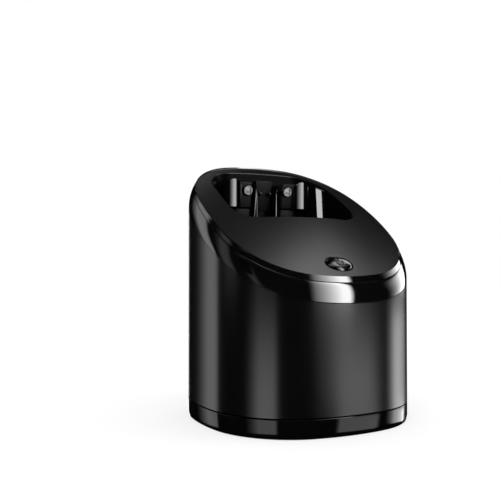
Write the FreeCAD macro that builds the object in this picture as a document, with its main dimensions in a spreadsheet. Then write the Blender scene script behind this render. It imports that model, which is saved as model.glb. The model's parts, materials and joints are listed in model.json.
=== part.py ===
import FreeCAD, Part
import Sketcher
import math
import os
import re

# Cleaning station for an electric shaver: a fixed base, a housing that lifts off it, and a cartridge between
# them. Millimetres, +Z up, front towards -Y, origin under the middle of the base at the surface it stands on.

SIZES = {
    # plan outline: eight tangent arcs
    "body_width": 128.0,
    "body_depth": 124.0,
    "side_radius": 122.0,
    "end_radius": 125.0,
    "corner_radius": 50.0,
    # base
    "foot_height": 0.8,
    "foot_radius": 6.0,
    "foot_seat": 0.9,
    "foot_skin": 0.4,
    "foot_edge": 9.0,
    "foot_turn": 45.0,
    "base_height": 10.6,
    "base_wall": 3.0,
    "base_top": 2.2,
    "base_chamfer": 2.0,
    "cover_thickness": 1.8,
    # housing outline, and the heights of its layers at the front and rear faces
    "seam_gap": 0.4,
    "wall": 2.4,
    "shell_front_rise": 2.53,
    "shell_slope_rise": 76.75,
    "band_front_height": 9.27,
    "band_rear_height": 11.92,
    "rim_front_height": 3.13,
    "rim_rear_height": 1.97,
    "band_inset": 3.0,
    "rim_inset": 4.4,
    "rim_width": 1.2,
    "rim_taper": 0.88,
    "deck_crown_radius": 600.0,
    "deck_crown": 3.2,
    "deck_thickness": 2.5,
    "deck_gap": 0.1,
    # recess for the shaver head, from the body's outline, and the bowl, from the recess
    "recess_front_margin": 53.0,
    "recess_rear_margin": 14.0,
    "recess_side_margin": 19.0,
    "recess_front_radius": 12.0,
    "recess_rear_radius": 22.0,
    "liner_wall": 2.0,
    "bowl_side_margin": 12.0,
    "bowl_front_margin": 5.0,
    "bowl_rear_margin": 12.0,
    "bowl_radius": 12.0,
    "bowl_rise": 15.6,
    "bowl_depth": 20.0,
    "bowl_wall": 2.0,
    # pieces on the rear wall of the recess
    "tower_width": 15.0,
    "tower_depth": 6.0,
    "tower_rise": 24.0,
    "tower_height": 20.0,
    "pin_spacing": 7.0,
    "pin_rise": 11.0,
    "pin_radius": 1.2,
    "pin_reach": 2.0,
    "pin_travel": 1.5,
    "rest_inner": 11.5,
    "rest_width": 10.5,
    "rest_depth": 10.0,
    "rest_rise": 25.5,
    "rest_height": 16.5,
    "rest_screw_radius": 3.6,
    "rest_screw_side": 14.8,
    "rest_screw_rise": 11.0,
    "screw_head": 1.6,
    "fin_width": 9.0,
    "fin_depth": 13.0,
    "fin_height": 18.0,
    # start button on the deck
    "start_inset": 13.8,
    "start_width": 16.5,
    "start_length": 12.0,
    "start_proud": 0.8,
    "start_height": 5.0,
    "start_edge": 1.0,
    "start_travel": 1.0,
    "button_gap": 0.4,
    "switch_size": 6.0,
    "switch_height": 3.5,
    "board_thickness": 1.6,
    "button_board_width": 26.0,
    "button_board_length": 10.0,
    "button_boss_radius": 1.8,
    # cartridge
    "cartridge_side_gap": 1.6,
    "cartridge_front_inset": 24.0,
    "cartridge_gap": 0.3,
    "cartridge_inset": 0.5,
    "cartridge_radius": 8.0,
    "cartridge_height": 51.1,
    "cartridge_wall": 1.8,
    "lid_thickness": 2.0,
    "port_radius": 3.0,
    "drain_side": 16.0,
    "feed_side": 30.0,
    "port_back": 10.0,
    "filter_width": 60.0,
    "filter_depth": 40.0,
    "filter_height": 14.0,
    "grip_width": 36.0,
    "grip_height": 9.0,
    "grip_depth": 5.0,
    "grip_drop": 7.0,
    "opening_gap": 1.0,
    # inner frame, guides and lift
    "frame_gap": 3.6,
    "frame_thickness": 2.8,
    "fit_gap": 0.2,
    "slide_gap": 0.3,
    "slot_gap": 0.6,
    "post_inset": 9.4,
    "post_radius": 3.0,
    "post_stand": 3.6,
    "post_flange_radius": 4.2,
    "post_flange": 1.5,
    "sleeve_radius": 5.0,
    "spring_radius": 4.2,
    "spring_length": 11.5,
    "boss_radius": 4.0,
    "boss_sink": 1.0,
    "boss_turn": 26.0,
    "boss_height": 12.0,
    "screw_radius": 1.5,
    "screw_head_radius": 3.0,
    "screw_length": 8.0,
    "base_screw_head": 0.8,
    "spout_gap": 1.2,
    # lift button and latch
    "lift_width": 26.0,
    "lift_height": 14.0,
    "lift_rise": 2.6,
    "lift_radius": 5.0,
    "lift_depth": 8.0,
    "lift_inset": 0.4,
    "lift_travel": 3.5,
    "slider_width": 10.0,
    "slider_thickness": 2.0,
    "slider_gap": 0.4,
    "slider_nose": 4.0,
    "catch_inset": 17.0,
    "catch_width": 6.0,
    "catch_depth": 3.0,
    "catch_foot_width": 12.0,
    "catch_foot_depth": 4.8,
    "catch_gap": 0.9,
    "catch_hook": 2.0,
    "catch_head": 2.6,
    # pump, fan and electronics
    "pump_side": 24.0,
    "pump_inset": 32.0,
    "pump_radius": 14.0,
    "pump_height": 7.0,
    "pump_wall": 1.6,
    "rotor_radius": 9.0,
    "rotor_height": 3.6,
    "rotor_shaft_radius": 1.0,
    "rotor_shaft_length": 8.0,
    "rotor_gap": 0.6,
    "vane_gap": 0.5,
    "motor_radius": 11.0,
    "motor_height": 14.0,
    "tube_radius": 2.4,
    "tube_bore": 1.4,
    "tube_bend": 4.0,
    "tube_rise": 10.0,
    "riser_gap": 7.4,
    "seal_radius": 6.4,
    "fan_side": 21.0,
    "fan_inset": 30.0,
    "fan_size": 30.0,
    "fan_height": 10.0,
    "fan_bore_radius": 13.5,
    "fan_hub_radius": 5.0,
    "fan_blade_gap": 0.8,
    "fan_top_gap": 0.6,
    "fan_blade_width": 1.2,
    "main_board_inset": 24.0,
    "main_board_length": 46.0,
    "main_board_height": 30.0,
    "socket_side": 30.0,
    "socket_width": 14.0,
    "socket_height": 11.0,
    "socket_rise": 3.6,
    "socket_depth": 20.0,
    "socket_back": 3.6,
    "socket_pin_length": 6.0,
    "socket_wall": 1.8,
    "socket_inset": 1.0,
    "socket_pin_radius": 0.9,
    "socket_pin_spacing": 5.0,
}

doc = FreeCAD.newDocument("CleaningStation")
sheet = doc.addObject("Spreadsheet::Sheet", "Sizes")
for row, (alias, value) in enumerate(SIZES.items(), start=1):
    sheet.set(f"A{row}", alias)
    sheet.set(f"B{row}", str(value))
    sheet.setAlias(f"B{row}", alias)
doc.recompute()

NODES = []
SIDES = (("left", -1), ("right", 1))
ENDS = (("front", -1), ("rear", 1))
X_AXIS = FreeCAD.Vector(1, 0, 0)
Z_AXIS = FreeCAD.Vector(0, 0, 1)
SPARE = 20.0    # how far columns and blocks that cut run past what they cut
PAST = 1.0      # how far bores run past the faces that they go through
TINY = 0.01

# Places that several sub-parts share, worked out upwards from the base and inwards from the outline.
FRONT = "(body_depth / 2)"
SIDE = "(body_width / 2)"
CARTRIDGE_BOTTOM = "(base_height + cartridge_gap)"
CARTRIDGE_TOP = f"({CARTRIDGE_BOTTOM} + cartridge_height)"
FRAME_BOTTOM = f"({CARTRIDGE_TOP} + frame_gap)"
FRAME_TOP = f"({FRAME_BOTTOM} + frame_thickness)"
SPOUT_BOTTOM = f"({CARTRIDGE_TOP} + spout_gap)"
SLEEVE_BOTTOM = "(base_height + post_flange + spring_length + 2 * fit_gap)"
SLIDER_BOTTOM = f"({FRAME_BOTTOM} - slider_gap - slider_thickness)"
LIFT_BOTTOM = f"({FRAME_TOP} + lift_rise)"
SOCKET_BOTTOM = f"({FRAME_TOP} + socket_rise)"
SHELL_BOTTOM = "(base_height + seam_gap)"
SHELL_FRONT = f"({FRAME_TOP} + shell_front_rise)"
SHELL_REAR = f"({SHELL_FRONT} + shell_slope_rise)"
BAND_FRONT = f"({SHELL_FRONT} + band_front_height)"
BAND_REAR = f"({SHELL_REAR} + band_rear_height)"
DECK_FRONT = f"({BAND_FRONT} + rim_front_height)"
DECK_REAR = f"({BAND_REAR} + rim_rear_height)"
PLANES = {
    "shell": (SHELL_FRONT, SHELL_REAR),
    "band": (BAND_FRONT, BAND_REAR),
    "deck": (DECK_FRONT, DECK_REAR),
}
TALL = f"({DECK_REAR} + {SPARE})"
BOWL_FLOOR = f"({FRAME_TOP} + bowl_rise)"
RECESS_FLOOR = f"({BOWL_FLOOR} + bowl_depth)"
RECESS_HALF = f"({SIDE} - recess_side_margin)"
RECESS_FRONT = f"({FRONT} - recess_front_margin)"
RECESS_REAR = f"({FRONT} - recess_rear_margin)"
BOWL_HALF = f"({RECESS_HALF} - bowl_side_margin)"
BOWL_FRONT = f"({RECESS_FRONT} - bowl_front_margin)"
BOWL_REAR = f"({RECESS_REAR} - bowl_rear_margin)"
POST_SIDE = f"({SIDE} - post_inset)"
CARTRIDGE_HALF = f"({POST_SIDE} - sleeve_radius - cartridge_side_gap)"
CARTRIDGE_FRONT = f"({FRONT} - cartridge_front_inset)"
SPOUT_RADIUS = "(port_radius + bowl_wall / 2)"
OPENING_HALF = f"({CARTRIDGE_HALF} + opening_gap)"
CATCH_BACK = f"({FRONT} - catch_inset)"
TAB_FRONT = f"({FRONT} - lift_inset - lift_depth - slider_thickness)"


def formula(text):
    """Expression text with every size name pointing at the sheet."""
    def point(found):
        word = found.group()
        return f"Sizes.{word}" if word in SIZES else word

    return re.sub(r"[a-z_]+", point, text)


def number(text):
    """Present value of an expression."""
    result = sheet.evalExpression(formula(str(text)))
    return getattr(result, "Value", result)


def bind(target, name, text):
    target.setExpression(name, formula(str(text)))


def place(target, x=0, y=0, z=0):
    for axis, text in zip("xyz", (x, y, z)):
        bind(target, f"Placement.Base.{axis}", text)
    return target


def keep(target, label):
    """Register a finished sub-part under the name of its node."""
    target.Label = label
    NODES.append(target)
    return target


# The three slanted planes: a slope along Y and a height over the middle.
def plane_slope(name):
    front, rear = PLANES[name]
    return f"(({rear} - {front}) / body_depth)"


def plane_height(name, y="0"):
    front, rear = PLANES[name]
    return f"(({front} + {rear}) / 2 + {plane_slope(name)} * ({y}))"


DECK_ANGLE = f"atan({plane_slope('deck')})"


# ---------------------------------------------------------------- primitives and booleans
def box(name, x, y, z, length, width, height):
    """Box from its left, front and bottom faces and its three lengths."""
    target = doc.addObject("Part::Box", name)
    for side, text in (("Length", length), ("Width", width), ("Height", height)):
        bind(target, side, text)
    return place(target, x, y, z)


def centred_box(name, x, y, z, length, width, height):
    return box(name, f"{x} - ({length}) / 2", f"{y} - ({width}) / 2", z, length, width, height)


def cylinder(name, x, y, z, radius, height):
    target = doc.addObject("Part::Cylinder", name)
    bind(target, "Radius", radius)
    bind(target, "Height", height)
    return place(target, x, y, z)


def rod(name, x, y, z, radius, length):
    """Cylinder along +Y, from its front end."""
    target = cylinder(name, x, y, z, radius, length)
    target.Placement.Rotation = FreeCAD.Rotation(X_AXIS, -90)
    return place(target, x, y, z)


def vane(name, turn, x, y, z, reach, width, height):
    """Upright plate across the point x, y, turned about it and reaching as far on both sides."""
    target = doc.addObject("Part::Box", name)
    for side, text in (("Length", f"{reach} * 2"), ("Width", width), ("Height", height)):
        bind(target, side, text)
    target.Placement.Rotation = FreeCAD.Rotation(Z_AXIS, turn)
    return place(target, f"{x} - {reach} * cos({turn} deg) + {width} / 2 * sin({turn} deg)",
                 f"{y} - {reach} * sin({turn} deg) - {width} / 2 * cos({turn} deg)", z)


def cut(name, base, *tools):
    for index, tool in enumerate(tools):
        step = doc.addObject("Part::Cut", f"{name}_{index}")
        step.Base = base
        step.Tool = tool
        base = step
    return base


def fuse(name, *shapes):
    target = doc.addObject("Part::MultiFuse", name)
    target.Shapes = list(shapes)
    return target


def common(name, base, tool):
    target = doc.addObject("Part::Common", name)
    target.Base = base
    target.Tool = tool
    return target


# ---------------------------------------------------------------- sketches
def origin_plane(body, role):
    return next(feature for feature in body.Origin.OriginFeatures if feature.Role == role)


def sketch(body, name, offset=0, role="XY_Plane"):
    target = body.newObject("Sketcher::SketchObject", name)
    target.AttachmentSupport = [(origin_plane(body, role), "")]
    target.MapMode = "FlatFace"
    bind(target, "AttachmentOffset.Base.z", offset)
    return target


def constrain(target, kind, *where_and_value):
    """Add a dimension to a sketch and bind it to its expression."""
    *where, text = where_and_value
    index = target.addConstraint(Sketcher.Constraint(kind, *where, number(text)))
    bind(target, f"Constraints[{index}]", text)


def corner_centre():
    """Plan position of the corner arc that touches a side arc and an end arc from inside."""
    side_x = number("body_width / 2 - side_radius")
    end_y = number("body_depth / 2 - end_radius")
    side_reach = number("side_radius - corner_radius")
    end_reach = number("end_radius - corner_radius")
    span = math.hypot(side_x, end_y)
    along = (side_reach ** 2 - end_reach ** 2 + span ** 2) / (2 * span)
    across = math.sqrt(side_reach ** 2 - along ** 2)
    unit_x, unit_y = -side_x / span, end_y / span
    return side_x + along * unit_x - across * unit_y, along * unit_y + across * unit_x


def oval_arcs(inset):
    """The outline's eight arcs, counter-clockwise from the right side."""
    corner_x, corner_y = corner_centre()
    side_x = number("body_width / 2 - side_radius")
    end_y = number("body_depth / 2 - end_radius")
    side_turn = math.atan2(corner_y, corner_x - side_x)
    end_turn = math.atan2(corner_y - end_y, corner_x)
    half = math.pi
    side = number("side_radius") - inset
    end = number("end_radius") - inset
    corner = number("corner_radius") - inset
    rows = (
        (side_x, 0, side, -side_turn, side_turn),
        (corner_x, corner_y, corner, side_turn, end_turn),
        (0, end_y, end, end_turn, half - end_turn),
        (-corner_x, corner_y, corner, half - end_turn, half - side_turn),
        (-side_x, 0, side, half - side_turn, half + side_turn),
        (-corner_x, -corner_y, corner, half + side_turn, half + end_turn),
        (0, -end_y, end, half + end_turn, 2 * half - end_turn),
        (corner_x, -corner_y, corner, 2 * half - end_turn, 2 * half - side_turn),
    )
    return [Part.ArcOfCircle(Part.Circle(FreeCAD.Vector(x, y, 0), Z_AXIS, radius), first, last)
            for x, y, radius, first, last in rows]


def corner_places(edge, turn):
    """Four places in the body's round corners, edge inside the outline, turned about the corner's centre."""
    corner_x, corner_y = corner_centre()
    reach = number(f"corner_radius - ({edge})")
    angle = math.radians(number(turn))
    x = corner_x + reach * math.cos(angle)
    y = corner_y + reach * math.sin(angle)
    return [(f"{end}_{side}", side_sign * x, end_sign * y)
            for end, end_sign in ENDS for side, side_sign in SIDES]


def boss_places():
    return corner_places("wall + boss_radius - boss_sink", "boss_turn")


def foot_places():
    return corner_places("foot_edge", "foot_turn")


def oval(target, inset=0):
    """Draw the plan outline, moved inwards by inset."""
    target.addGeometry(oval_arcs(number(inset)), False)
    for index in range(8):
        target.addConstraint(Sketcher.Constraint("Tangent", index, 2, (index + 1) % 8, 1))
    for index, sign, axis, radius, size in (
        (0, -1, -1, "side_radius", "body_width"),
        (2, -1, -2, "end_radius", "body_depth"),
        (4, 1, -1, "side_radius", "body_width"),
        (6, 1, -2, "end_radius", "body_depth"),
    ):
        target.addConstraint(Sketcher.Constraint("PointOnObject", index, 3, axis))
        direction = "DistanceX" if axis == -1 else "DistanceY"
        constrain(target, direction, -1, 1, index, 3, f"{sign} * ({radius} - {size} / 2)")
    constrain(target, "Radius", 0, f"side_radius - ({inset})")
    constrain(target, "Radius", 2, f"end_radius - ({inset})")
    constrain(target, "Radius", 1, f"corner_radius - ({inset})")
    for first, second in ((0, 4), (2, 6), (1, 3), (1, 5), (1, 7)):
        target.addConstraint(Sketcher.Constraint("Equal", first, second))
    return target


def polygon(target, points):
    """Closed polygon through points given as pairs of expressions."""
    count = len(points)
    corners = [FreeCAD.Vector(number(x), number(y), 0) for x, y in points]
    lines = [Part.LineSegment(corners[index], corners[(index + 1) % count]) for index in range(count)]
    target.addGeometry(lines, False)
    for index, (x, y) in enumerate(points):
        target.addConstraint(Sketcher.Constraint("Coincident", index, 2, (index + 1) % count, 1))
        constrain(target, "DistanceX", -1, 1, index, 1, x)
        constrain(target, "DistanceY", -1, 1, index, 1, y)
    return target


def rounded_rectangle(target, left, right, low, high, low_radius, high_radius=None):
    """Rectangle between four expressions, with one radius for its lower and one for its upper corners."""
    high_radius = high_radius or low_radius
    x0, x1, y0, y1 = (number(text) for text in (left, right, low, high))
    r0, r1 = number(low_radius), number(high_radius)
    vector = FreeCAD.Vector
    quarter = math.pi / 2

    def arc(x, y, radius, turn):
        circle = Part.Circle(vector(x, y, 0), Z_AXIS, radius)
        return Part.ArcOfCircle(circle, turn * quarter, (turn + 1) * quarter)

    target.addGeometry([
        Part.LineSegment(vector(x0 + r0, y0, 0), vector(x1 - r0, y0, 0)),
        arc(x1 - r0, y0 + r0, r0, 3),
        Part.LineSegment(vector(x1, y0 + r0, 0), vector(x1, y1 - r1, 0)),
        arc(x1 - r1, y1 - r1, r1, 0),
        Part.LineSegment(vector(x1 - r1, y1, 0), vector(x0 + r1, y1, 0)),
        arc(x0 + r1, y1 - r1, r1, 1),
        Part.LineSegment(vector(x0, y1 - r1, 0), vector(x0, y0 + r0, 0)),
        arc(x0 + r0, y0 + r0, r0, 2),
    ], False)
    for index in range(8):
        target.addConstraint(Sketcher.Constraint("Tangent", index, 2, (index + 1) % 8, 1))
    for index, direction in ((0, "Horizontal"), (2, "Vertical"), (4, "Horizontal"), (6, "Vertical")):
        target.addConstraint(Sketcher.Constraint(direction, index))
    constrain(target, "DistanceY", -1, 1, 0, 1, low)
    constrain(target, "DistanceX", -1, 1, 2, 1, right)
    constrain(target, "DistanceY", -1, 1, 4, 1, high)
    constrain(target, "DistanceX", -1, 1, 6, 1, left)
    constrain(target, "Radius", 1, low_radius)
    constrain(target, "Radius", 3, high_radius)
    target.addConstraint(Sketcher.Constraint("Equal", 1, 7))
    target.addConstraint(Sketcher.Constraint("Equal", 3, 5))
    return target


def circles(target, centres, radius):
    """Equal circles at places whose last two values are x and y."""
    for index, (*_, x, y) in enumerate(centres):
        centre = FreeCAD.Vector(number(x), number(y), 0)
        target.addGeometry(Part.Circle(centre, Z_AXIS, number(radius)), False)
        constrain(target, "DistanceX", -1, 1, index, 3, x)
        constrain(target, "DistanceY", -1, 1, index, 3, y)
        constrain(target, "Radius", index, radius)
    return target


# ---------------------------------------------------------------- PartDesign features
def new_body(name):
    return doc.addObject("PartDesign::Body", name)


def pad(body, profile, length, reverse=False, middle=False):
    feature = body.newObject("PartDesign::Pad", f"{profile.Name}_pad")
    return extrude(feature, profile, length, reverse, middle)


def pocket(body, profile, length, reverse=False, middle=False):
    """Cut along -Z from a level sketch, or along +Z when reversed, and make sure that something was cut."""
    before = body.Tip
    feature = body.newObject("PartDesign::Pocket", f"{profile.Name}_pocket")
    extrude(feature, profile, length, reverse, middle)
    doc.recompute()
    if feature.Shape.isNull() or feature.Shape.Volume > before.Shape.Volume - TINY:
        raise RuntimeError(f"{feature.Name} cuts nothing")
    return feature


def extrude(feature, profile, length, reverse, middle):
    feature.Profile = profile
    bind(feature, "Length", length)
    feature.Reversed = reverse
    if middle:
        feature.SideType = "Symmetric"
    profile.Visibility = False
    doc.recompute()
    return feature


def slant_cut(body, name, plane):
    """Take away everything above one of the slanted planes."""
    reach = f"({FRONT} + {SPARE})"
    outline = polygon(sketch(body, name, role="YZ_Plane"), [
        (f"-{reach}", plane_height(plane, f"-{reach}")),
        (reach, plane_height(plane, reach)),
        (reach, TALL),
        (f"-{reach}", TALL),
    ])
    return pocket(body, outline, f"body_width + {SPARE}", middle=True)


def prism(name, inset, bottom="0", height=TALL):
    """Solid column with the plan outline, moved inwards by inset."""
    body = new_body(name)
    pad(body, oval(sketch(body, f"{name}_outline", bottom), inset), height)
    return body


# ---------------------------------------------------------------- base
def base_tray():
    body = new_body("tray")
    bottom = "foot_height"
    pad(body, oval(sketch(body, "tray_outline", bottom)), "base_height - foot_height")
    block = body.Tip
    rim = [f"Edge{index}" for index, edge in enumerate(block.Shape.Edges, start=1)
           if edge.BoundBox.ZMax < number("foot_height") + TINY]
    chamfer = body.newObject("PartDesign::Chamfer", "tray_chamfer")
    chamfer.Base = (block, rim)
    bind(chamfer, "Size", "base_chamfer")
    doc.recompute()
    hollow = oval(sketch(body, "tray_hollow", bottom), "base_wall")
    pocket(body, hollow, "base_height - foot_height - base_top", reverse=True)
    cover_top = "(foot_height + cover_thickness)"
    bosses = circles(sketch(body, "tray_bosses", cover_top), foot_places(), "boss_radius")
    pad(body, bosses, f"base_height - {cover_top} - base_top")
    holes = circles(sketch(body, "tray_holes", cover_top), foot_places(), "screw_radius + fit_gap")
    pocket(body, holes, "screw_length - screw_head", reverse=True)
    return keep(body, "base_tray")


def base_cover():
    body = new_body("cover")
    pad(body, oval(sketch(body, "cover_outline", "foot_height"), "base_wall + fit_gap"), "cover_thickness")
    seats = circles(sketch(body, "cover_seats", "foot_height"), foot_places(), "foot_radius + fit_gap")
    pocket(body, seats, "foot_seat", reverse=True)
    holes = circles(sketch(body, "cover_holes", "foot_height"), foot_places(), "screw_radius + fit_gap")
    pocket(body, holes, "cover_thickness", reverse=True)
    return keep(body, "base_cover")


def feet_and_base_screws():
    seat = "(foot_height + foot_seat)"
    for name, x, y in foot_places():
        disc = cylinder(f"foot_{name}_disc", x, y, 0, "foot_radius", seat)
        well = cylinder(f"foot_{name}_well", x, y, "foot_skin", "screw_head_radius + fit_gap", "screw_length")
        keep(cut(f"foot_{name}", disc, well), f"rubber_foot_{name}")
        head = cylinder(f"base_{name}_head", x, y, f"{seat} - base_screw_head", "screw_head_radius",
                        "base_screw_head")
        shank = cylinder(f"base_{name}_shank", x, y, seat, "screw_radius", "screw_length - screw_head")
        keep(fuse(f"base_screw_{name}_body", head, shank), f"base_screw_{name}")


def guide_posts_and_springs():
    for label, sign in SIDES:
        x = f"{sign} * {POST_SIDE}"
        flange = cylinder(f"post_{label}_flange", x, 0, "base_height", "post_flange_radius", "post_flange")
        stem = cylinder(f"post_{label}_stem", x, 0, "base_height", "post_radius",
                        f"{FRAME_TOP} + post_stand - base_height")
        keep(fuse(f"post_{label}", flange, stem), f"guide_post_{label}")
        low = "base_height + post_flange + fit_gap"
        coil = cylinder(f"spring_{label}_outside", x, 0, low, "spring_radius", "spring_length")
        core = cylinder(f"spring_{label}_inside", x, 0, low, "post_radius + slide_gap", "spring_length")
        keep(cut(f"spring_{label}", coil, core), f"lift_spring_{label}")


def latch_catch():
    foot = centred_box("catch_foot", "0", f"-{CATCH_BACK} - catch_depth / 2", "base_height",
                       "catch_foot_width", "catch_foot_depth", "catch_depth")
    post = box("catch_post", "-catch_width / 2", f"-{CATCH_BACK} - catch_depth", "base_height",
               "catch_width", "catch_depth", f"{FRAME_BOTTOM} - base_height")
    head = box("catch_head_block", "-catch_width / 2", f"-{CATCH_BACK} - catch_depth - catch_hook",
               FRAME_BOTTOM, "catch_width", "catch_depth + catch_hook", "catch_head")
    return keep(fuse("catch", foot, post, head), "latch_catch")


# ---------------------------------------------------------------- housing shell
def body_shell():
    body = new_body("shell")
    pad(body, oval(sketch(body, "shell_outline", SHELL_BOTTOM)), f"{SHELL_REAR} - {SHELL_BOTTOM}")
    inside = oval(sketch(body, "shell_inside", SHELL_BOTTOM), "wall")
    pocket(body, inside, f"{SHELL_REAR} - {SHELL_BOTTOM}", reverse=True)
    slant_cut(body, "shell_top", "shell")
    bosses = circles(sketch(body, "shell_bosses", FRAME_TOP), boss_places(), "boss_radius")
    pad(body, bosses, "boss_height")
    holes = circles(sketch(body, "shell_holes", FRAME_TOP), boss_places(), "screw_radius + fit_gap")
    pocket(body, holes, "boss_height - wall", reverse=True)
    # doorway for the cartridge, hole for the lift button and hole for the power socket, all in the rear wall
    door = polygon(sketch(body, "shell_door", role="XZ_Plane"), [
        (f"-{OPENING_HALF}", f"{SHELL_BOTTOM} - {SPARE}"),
        (OPENING_HALF, f"{SHELL_BOTTOM} - {SPARE}"),
        (OPENING_HALF, f"{CARTRIDGE_TOP} + opening_gap"),
        (f"-{OPENING_HALF}", f"{CARTRIDGE_TOP} + opening_gap"),
    ])
    pocket(body, door, "body_depth")
    button_hole = rounded_rectangle(
        sketch(body, "shell_button_hole", role="XZ_Plane"),
        "-lift_width / 2 - button_gap", "lift_width / 2 + button_gap",
        f"{LIFT_BOTTOM} - button_gap", f"{LIFT_BOTTOM} + lift_height + button_gap",
        "lift_radius + button_gap")
    pocket(body, button_hole, "body_depth")
    socket_hole = rounded_rectangle(
        sketch(body, "shell_socket_hole", role="XZ_Plane"),
        "-socket_side - socket_width / 2 - fit_gap", "-socket_side + socket_width / 2 + fit_gap",
        f"{SOCKET_BOTTOM} - fit_gap", f"{SOCKET_BOTTOM} + socket_height + fit_gap", "socket_wall + fit_gap")
    pocket(body, socket_hole, "body_depth")
    return keep(body, "body_shell")


def sheared_wire(inset, plane, lift=0.0):
    """The plan outline moved inwards and laid on a slanted plane, raised by lift."""
    wire = Part.Wire([arc.toShape() for arc in oval_arcs(inset)])
    slope = FreeCAD.Matrix()
    slope.A32 = number(plane_slope(plane))
    slope.A34 = number(plane_height(plane)) + lift
    return wire.transformGeometry(slope)


def crowned_solid(name, shift="0"):
    """Ball whose top is the crowned deck surface, moved down its own axis by shift."""
    ball = doc.addObject("Part::Sphere", name)
    bind(ball, "Radius", f"deck_crown_radius - ({shift})")
    drop = "(deck_crown_radius - deck_crown)"
    return place(ball, 0, f"{drop} * sin({DECK_ANGLE})",
                 f"{plane_height('deck')} - {drop} * cos({DECK_ANGLE})")


def shoulder(name, sections):
    """Solid through outlines given as (inset, plane, lift): a tapering column with slanted ends."""
    target = doc.addObject("Part::Feature", name)
    target.Shape = Part.makeLoft([sheared_wire(*section) for section in sections], True, True)
    return target


# The band's shoulder leans inwards more and more: shares of its inset at shares of its height.
BAND_SHOULDER = ((0.12, 0.35), (0.45, 0.7))


def trim_band():
    inset = number("band_inset")
    thickness = number(f"{plane_height('band')} - {plane_height('shell')}")
    steps = [(inset * inwards, "shell", thickness * upwards) for inwards, upwards in BAND_SHOULDER]
    outside = shoulder("band_outside", [(0.0, "shell", 0.0), *steps, (inset, "band", 0.0)])
    core = prism("band_core", "rim_inset + rim_width")
    return keep(cut("band", outside, core), "trim_band")


def top_rim():
    outside = shoulder("rim_outside", [
        (number("band_inset"), "band", 0.0),
        (number("rim_inset"), "deck", 0.0),
        (number("rim_inset + rim_taper"), "deck", number("rim_width")),
    ])
    core = prism("rim_core", "rim_inset + rim_width")
    ring = cut("rim_ring", outside, core)
    return keep(common("rim", ring, crowned_solid("rim_crown")), "top_rim")


# ---------------------------------------------------------------- deck and recess
def recess_column(name, grow, bottom=RECESS_FLOOR, height=TALL):
    """Solid column with the outline of the recess opening, moved outwards by grow."""
    body = new_body(name)
    outline = rounded_rectangle(
        sketch(body, f"{name}_outline", bottom),
        f"-{RECESS_HALF} - ({grow})", f"{RECESS_HALF} + ({grow})",
        f"-{RECESS_FRONT} - ({grow})", f"{RECESS_REAR} + ({grow})",
        f"recess_front_radius + ({grow})", f"recess_rear_radius + ({grow})")
    pad(body, outline, height)
    return body


def on_deck(target, x="0", height="0"):
    """Turn a sub-part to stand square on the deck at the start button, height above the crowned surface."""
    level = f"(deck_crown_radius + ({height})) * cos({START_TURN}) - deck_crown_radius + deck_crown"
    along = f"-(deck_crown_radius + ({height})) * sin({START_TURN})"
    target.Placement.Rotation = FreeCAD.Rotation(X_AXIS, 1)
    bind(target, "Placement.Rotation.Angle", f"{DECK_ANGLE} + {START_TURN}")
    return place(
        target, x,
        f"({along}) * cos({DECK_ANGLE}) - ({level}) * sin({DECK_ANGLE})",
        f"{plane_height('deck')} + ({along}) * sin({DECK_ANGLE}) + ({level}) * cos({DECK_ANGLE})")


START_DISTANCE = f"(({FRONT} - start_inset) / cos({DECK_ANGLE}))"
START_TURN = f"asin({START_DISTANCE} / deck_crown_radius)"
BUTTON_FOOT = "(start_height - start_proud)"
SWITCH_TOP = f"({BUTTON_FOOT} + start_travel + slide_gap)"
SWITCH_FOOT = f"({SWITCH_TOP} + switch_height)"


def button_disc(name, grow, height, below, edge=None):
    """Elliptical disc at the start button, from below the crowned surface up by height."""
    body = new_body(name)
    outline = sketch(body, f"{name}_outline", f"-({below})")
    wide = number(f"start_width / 2 + ({grow})")
    long = number(f"start_length / 2 + ({grow})")
    outline.addGeometry(Part.Ellipse(FreeCAD.Vector(0, 0, 0), wide, long), False)
    outline.exposeInternalGeometry(0)
    outline.addConstraint(Sketcher.Constraint("Coincident", 0, 3, -1, 1))
    outline.addConstraint(Sketcher.Constraint("Horizontal", 1))
    constrain(outline, "Distance", 1, f"start_width + 2 * ({grow})")
    constrain(outline, "Distance", 2, f"start_length + 2 * ({grow})")
    pad(body, outline, height)
    if edge:
        disc = body.Tip
        edges = disc.Shape.Edges
        top = max(range(len(edges)), key=lambda index: edges[index].BoundBox.ZMin)
        round_edge = body.newObject("PartDesign::Fillet", f"{name}_edge")
        round_edge.Base = (disc, [f"Edge{top + 1}"])
        bind(round_edge, "Radius", edge)
        doc.recompute()
    return on_deck(body)


def deck_panel():
    column = prism("deck_column", "rim_inset + rim_width + deck_gap")
    crowned = common("deck_crowned", column, crowned_solid("deck_top_ball"))
    hollow = cut("deck_skin", crowned, crowned_solid("deck_under_ball", "deck_thickness"))
    opening = recess_column("deck_opening", 0)
    hole = button_disc("deck_hole", "button_gap", 2 * SPARE, SPARE)
    skin = cut("deck_open", hollow, opening, hole)
    return keep(fuse("deck", skin, button_board_bosses()), "deck_panel")


def button_board_bosses():
    """Two posts under the deck that carry the button's board."""
    body = new_body("board_bosses")
    x = "(button_board_width / 2 - button_boss_radius)"
    posts = circles(sketch(body, "board_boss_outline", f"-{SWITCH_FOOT}"), [(f"-{x}", "0"), (x, "0")],
                    "button_boss_radius")
    pad(body, posts, f"{SWITCH_FOOT} - deck_thickness / 2")
    return on_deck(body)


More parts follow.
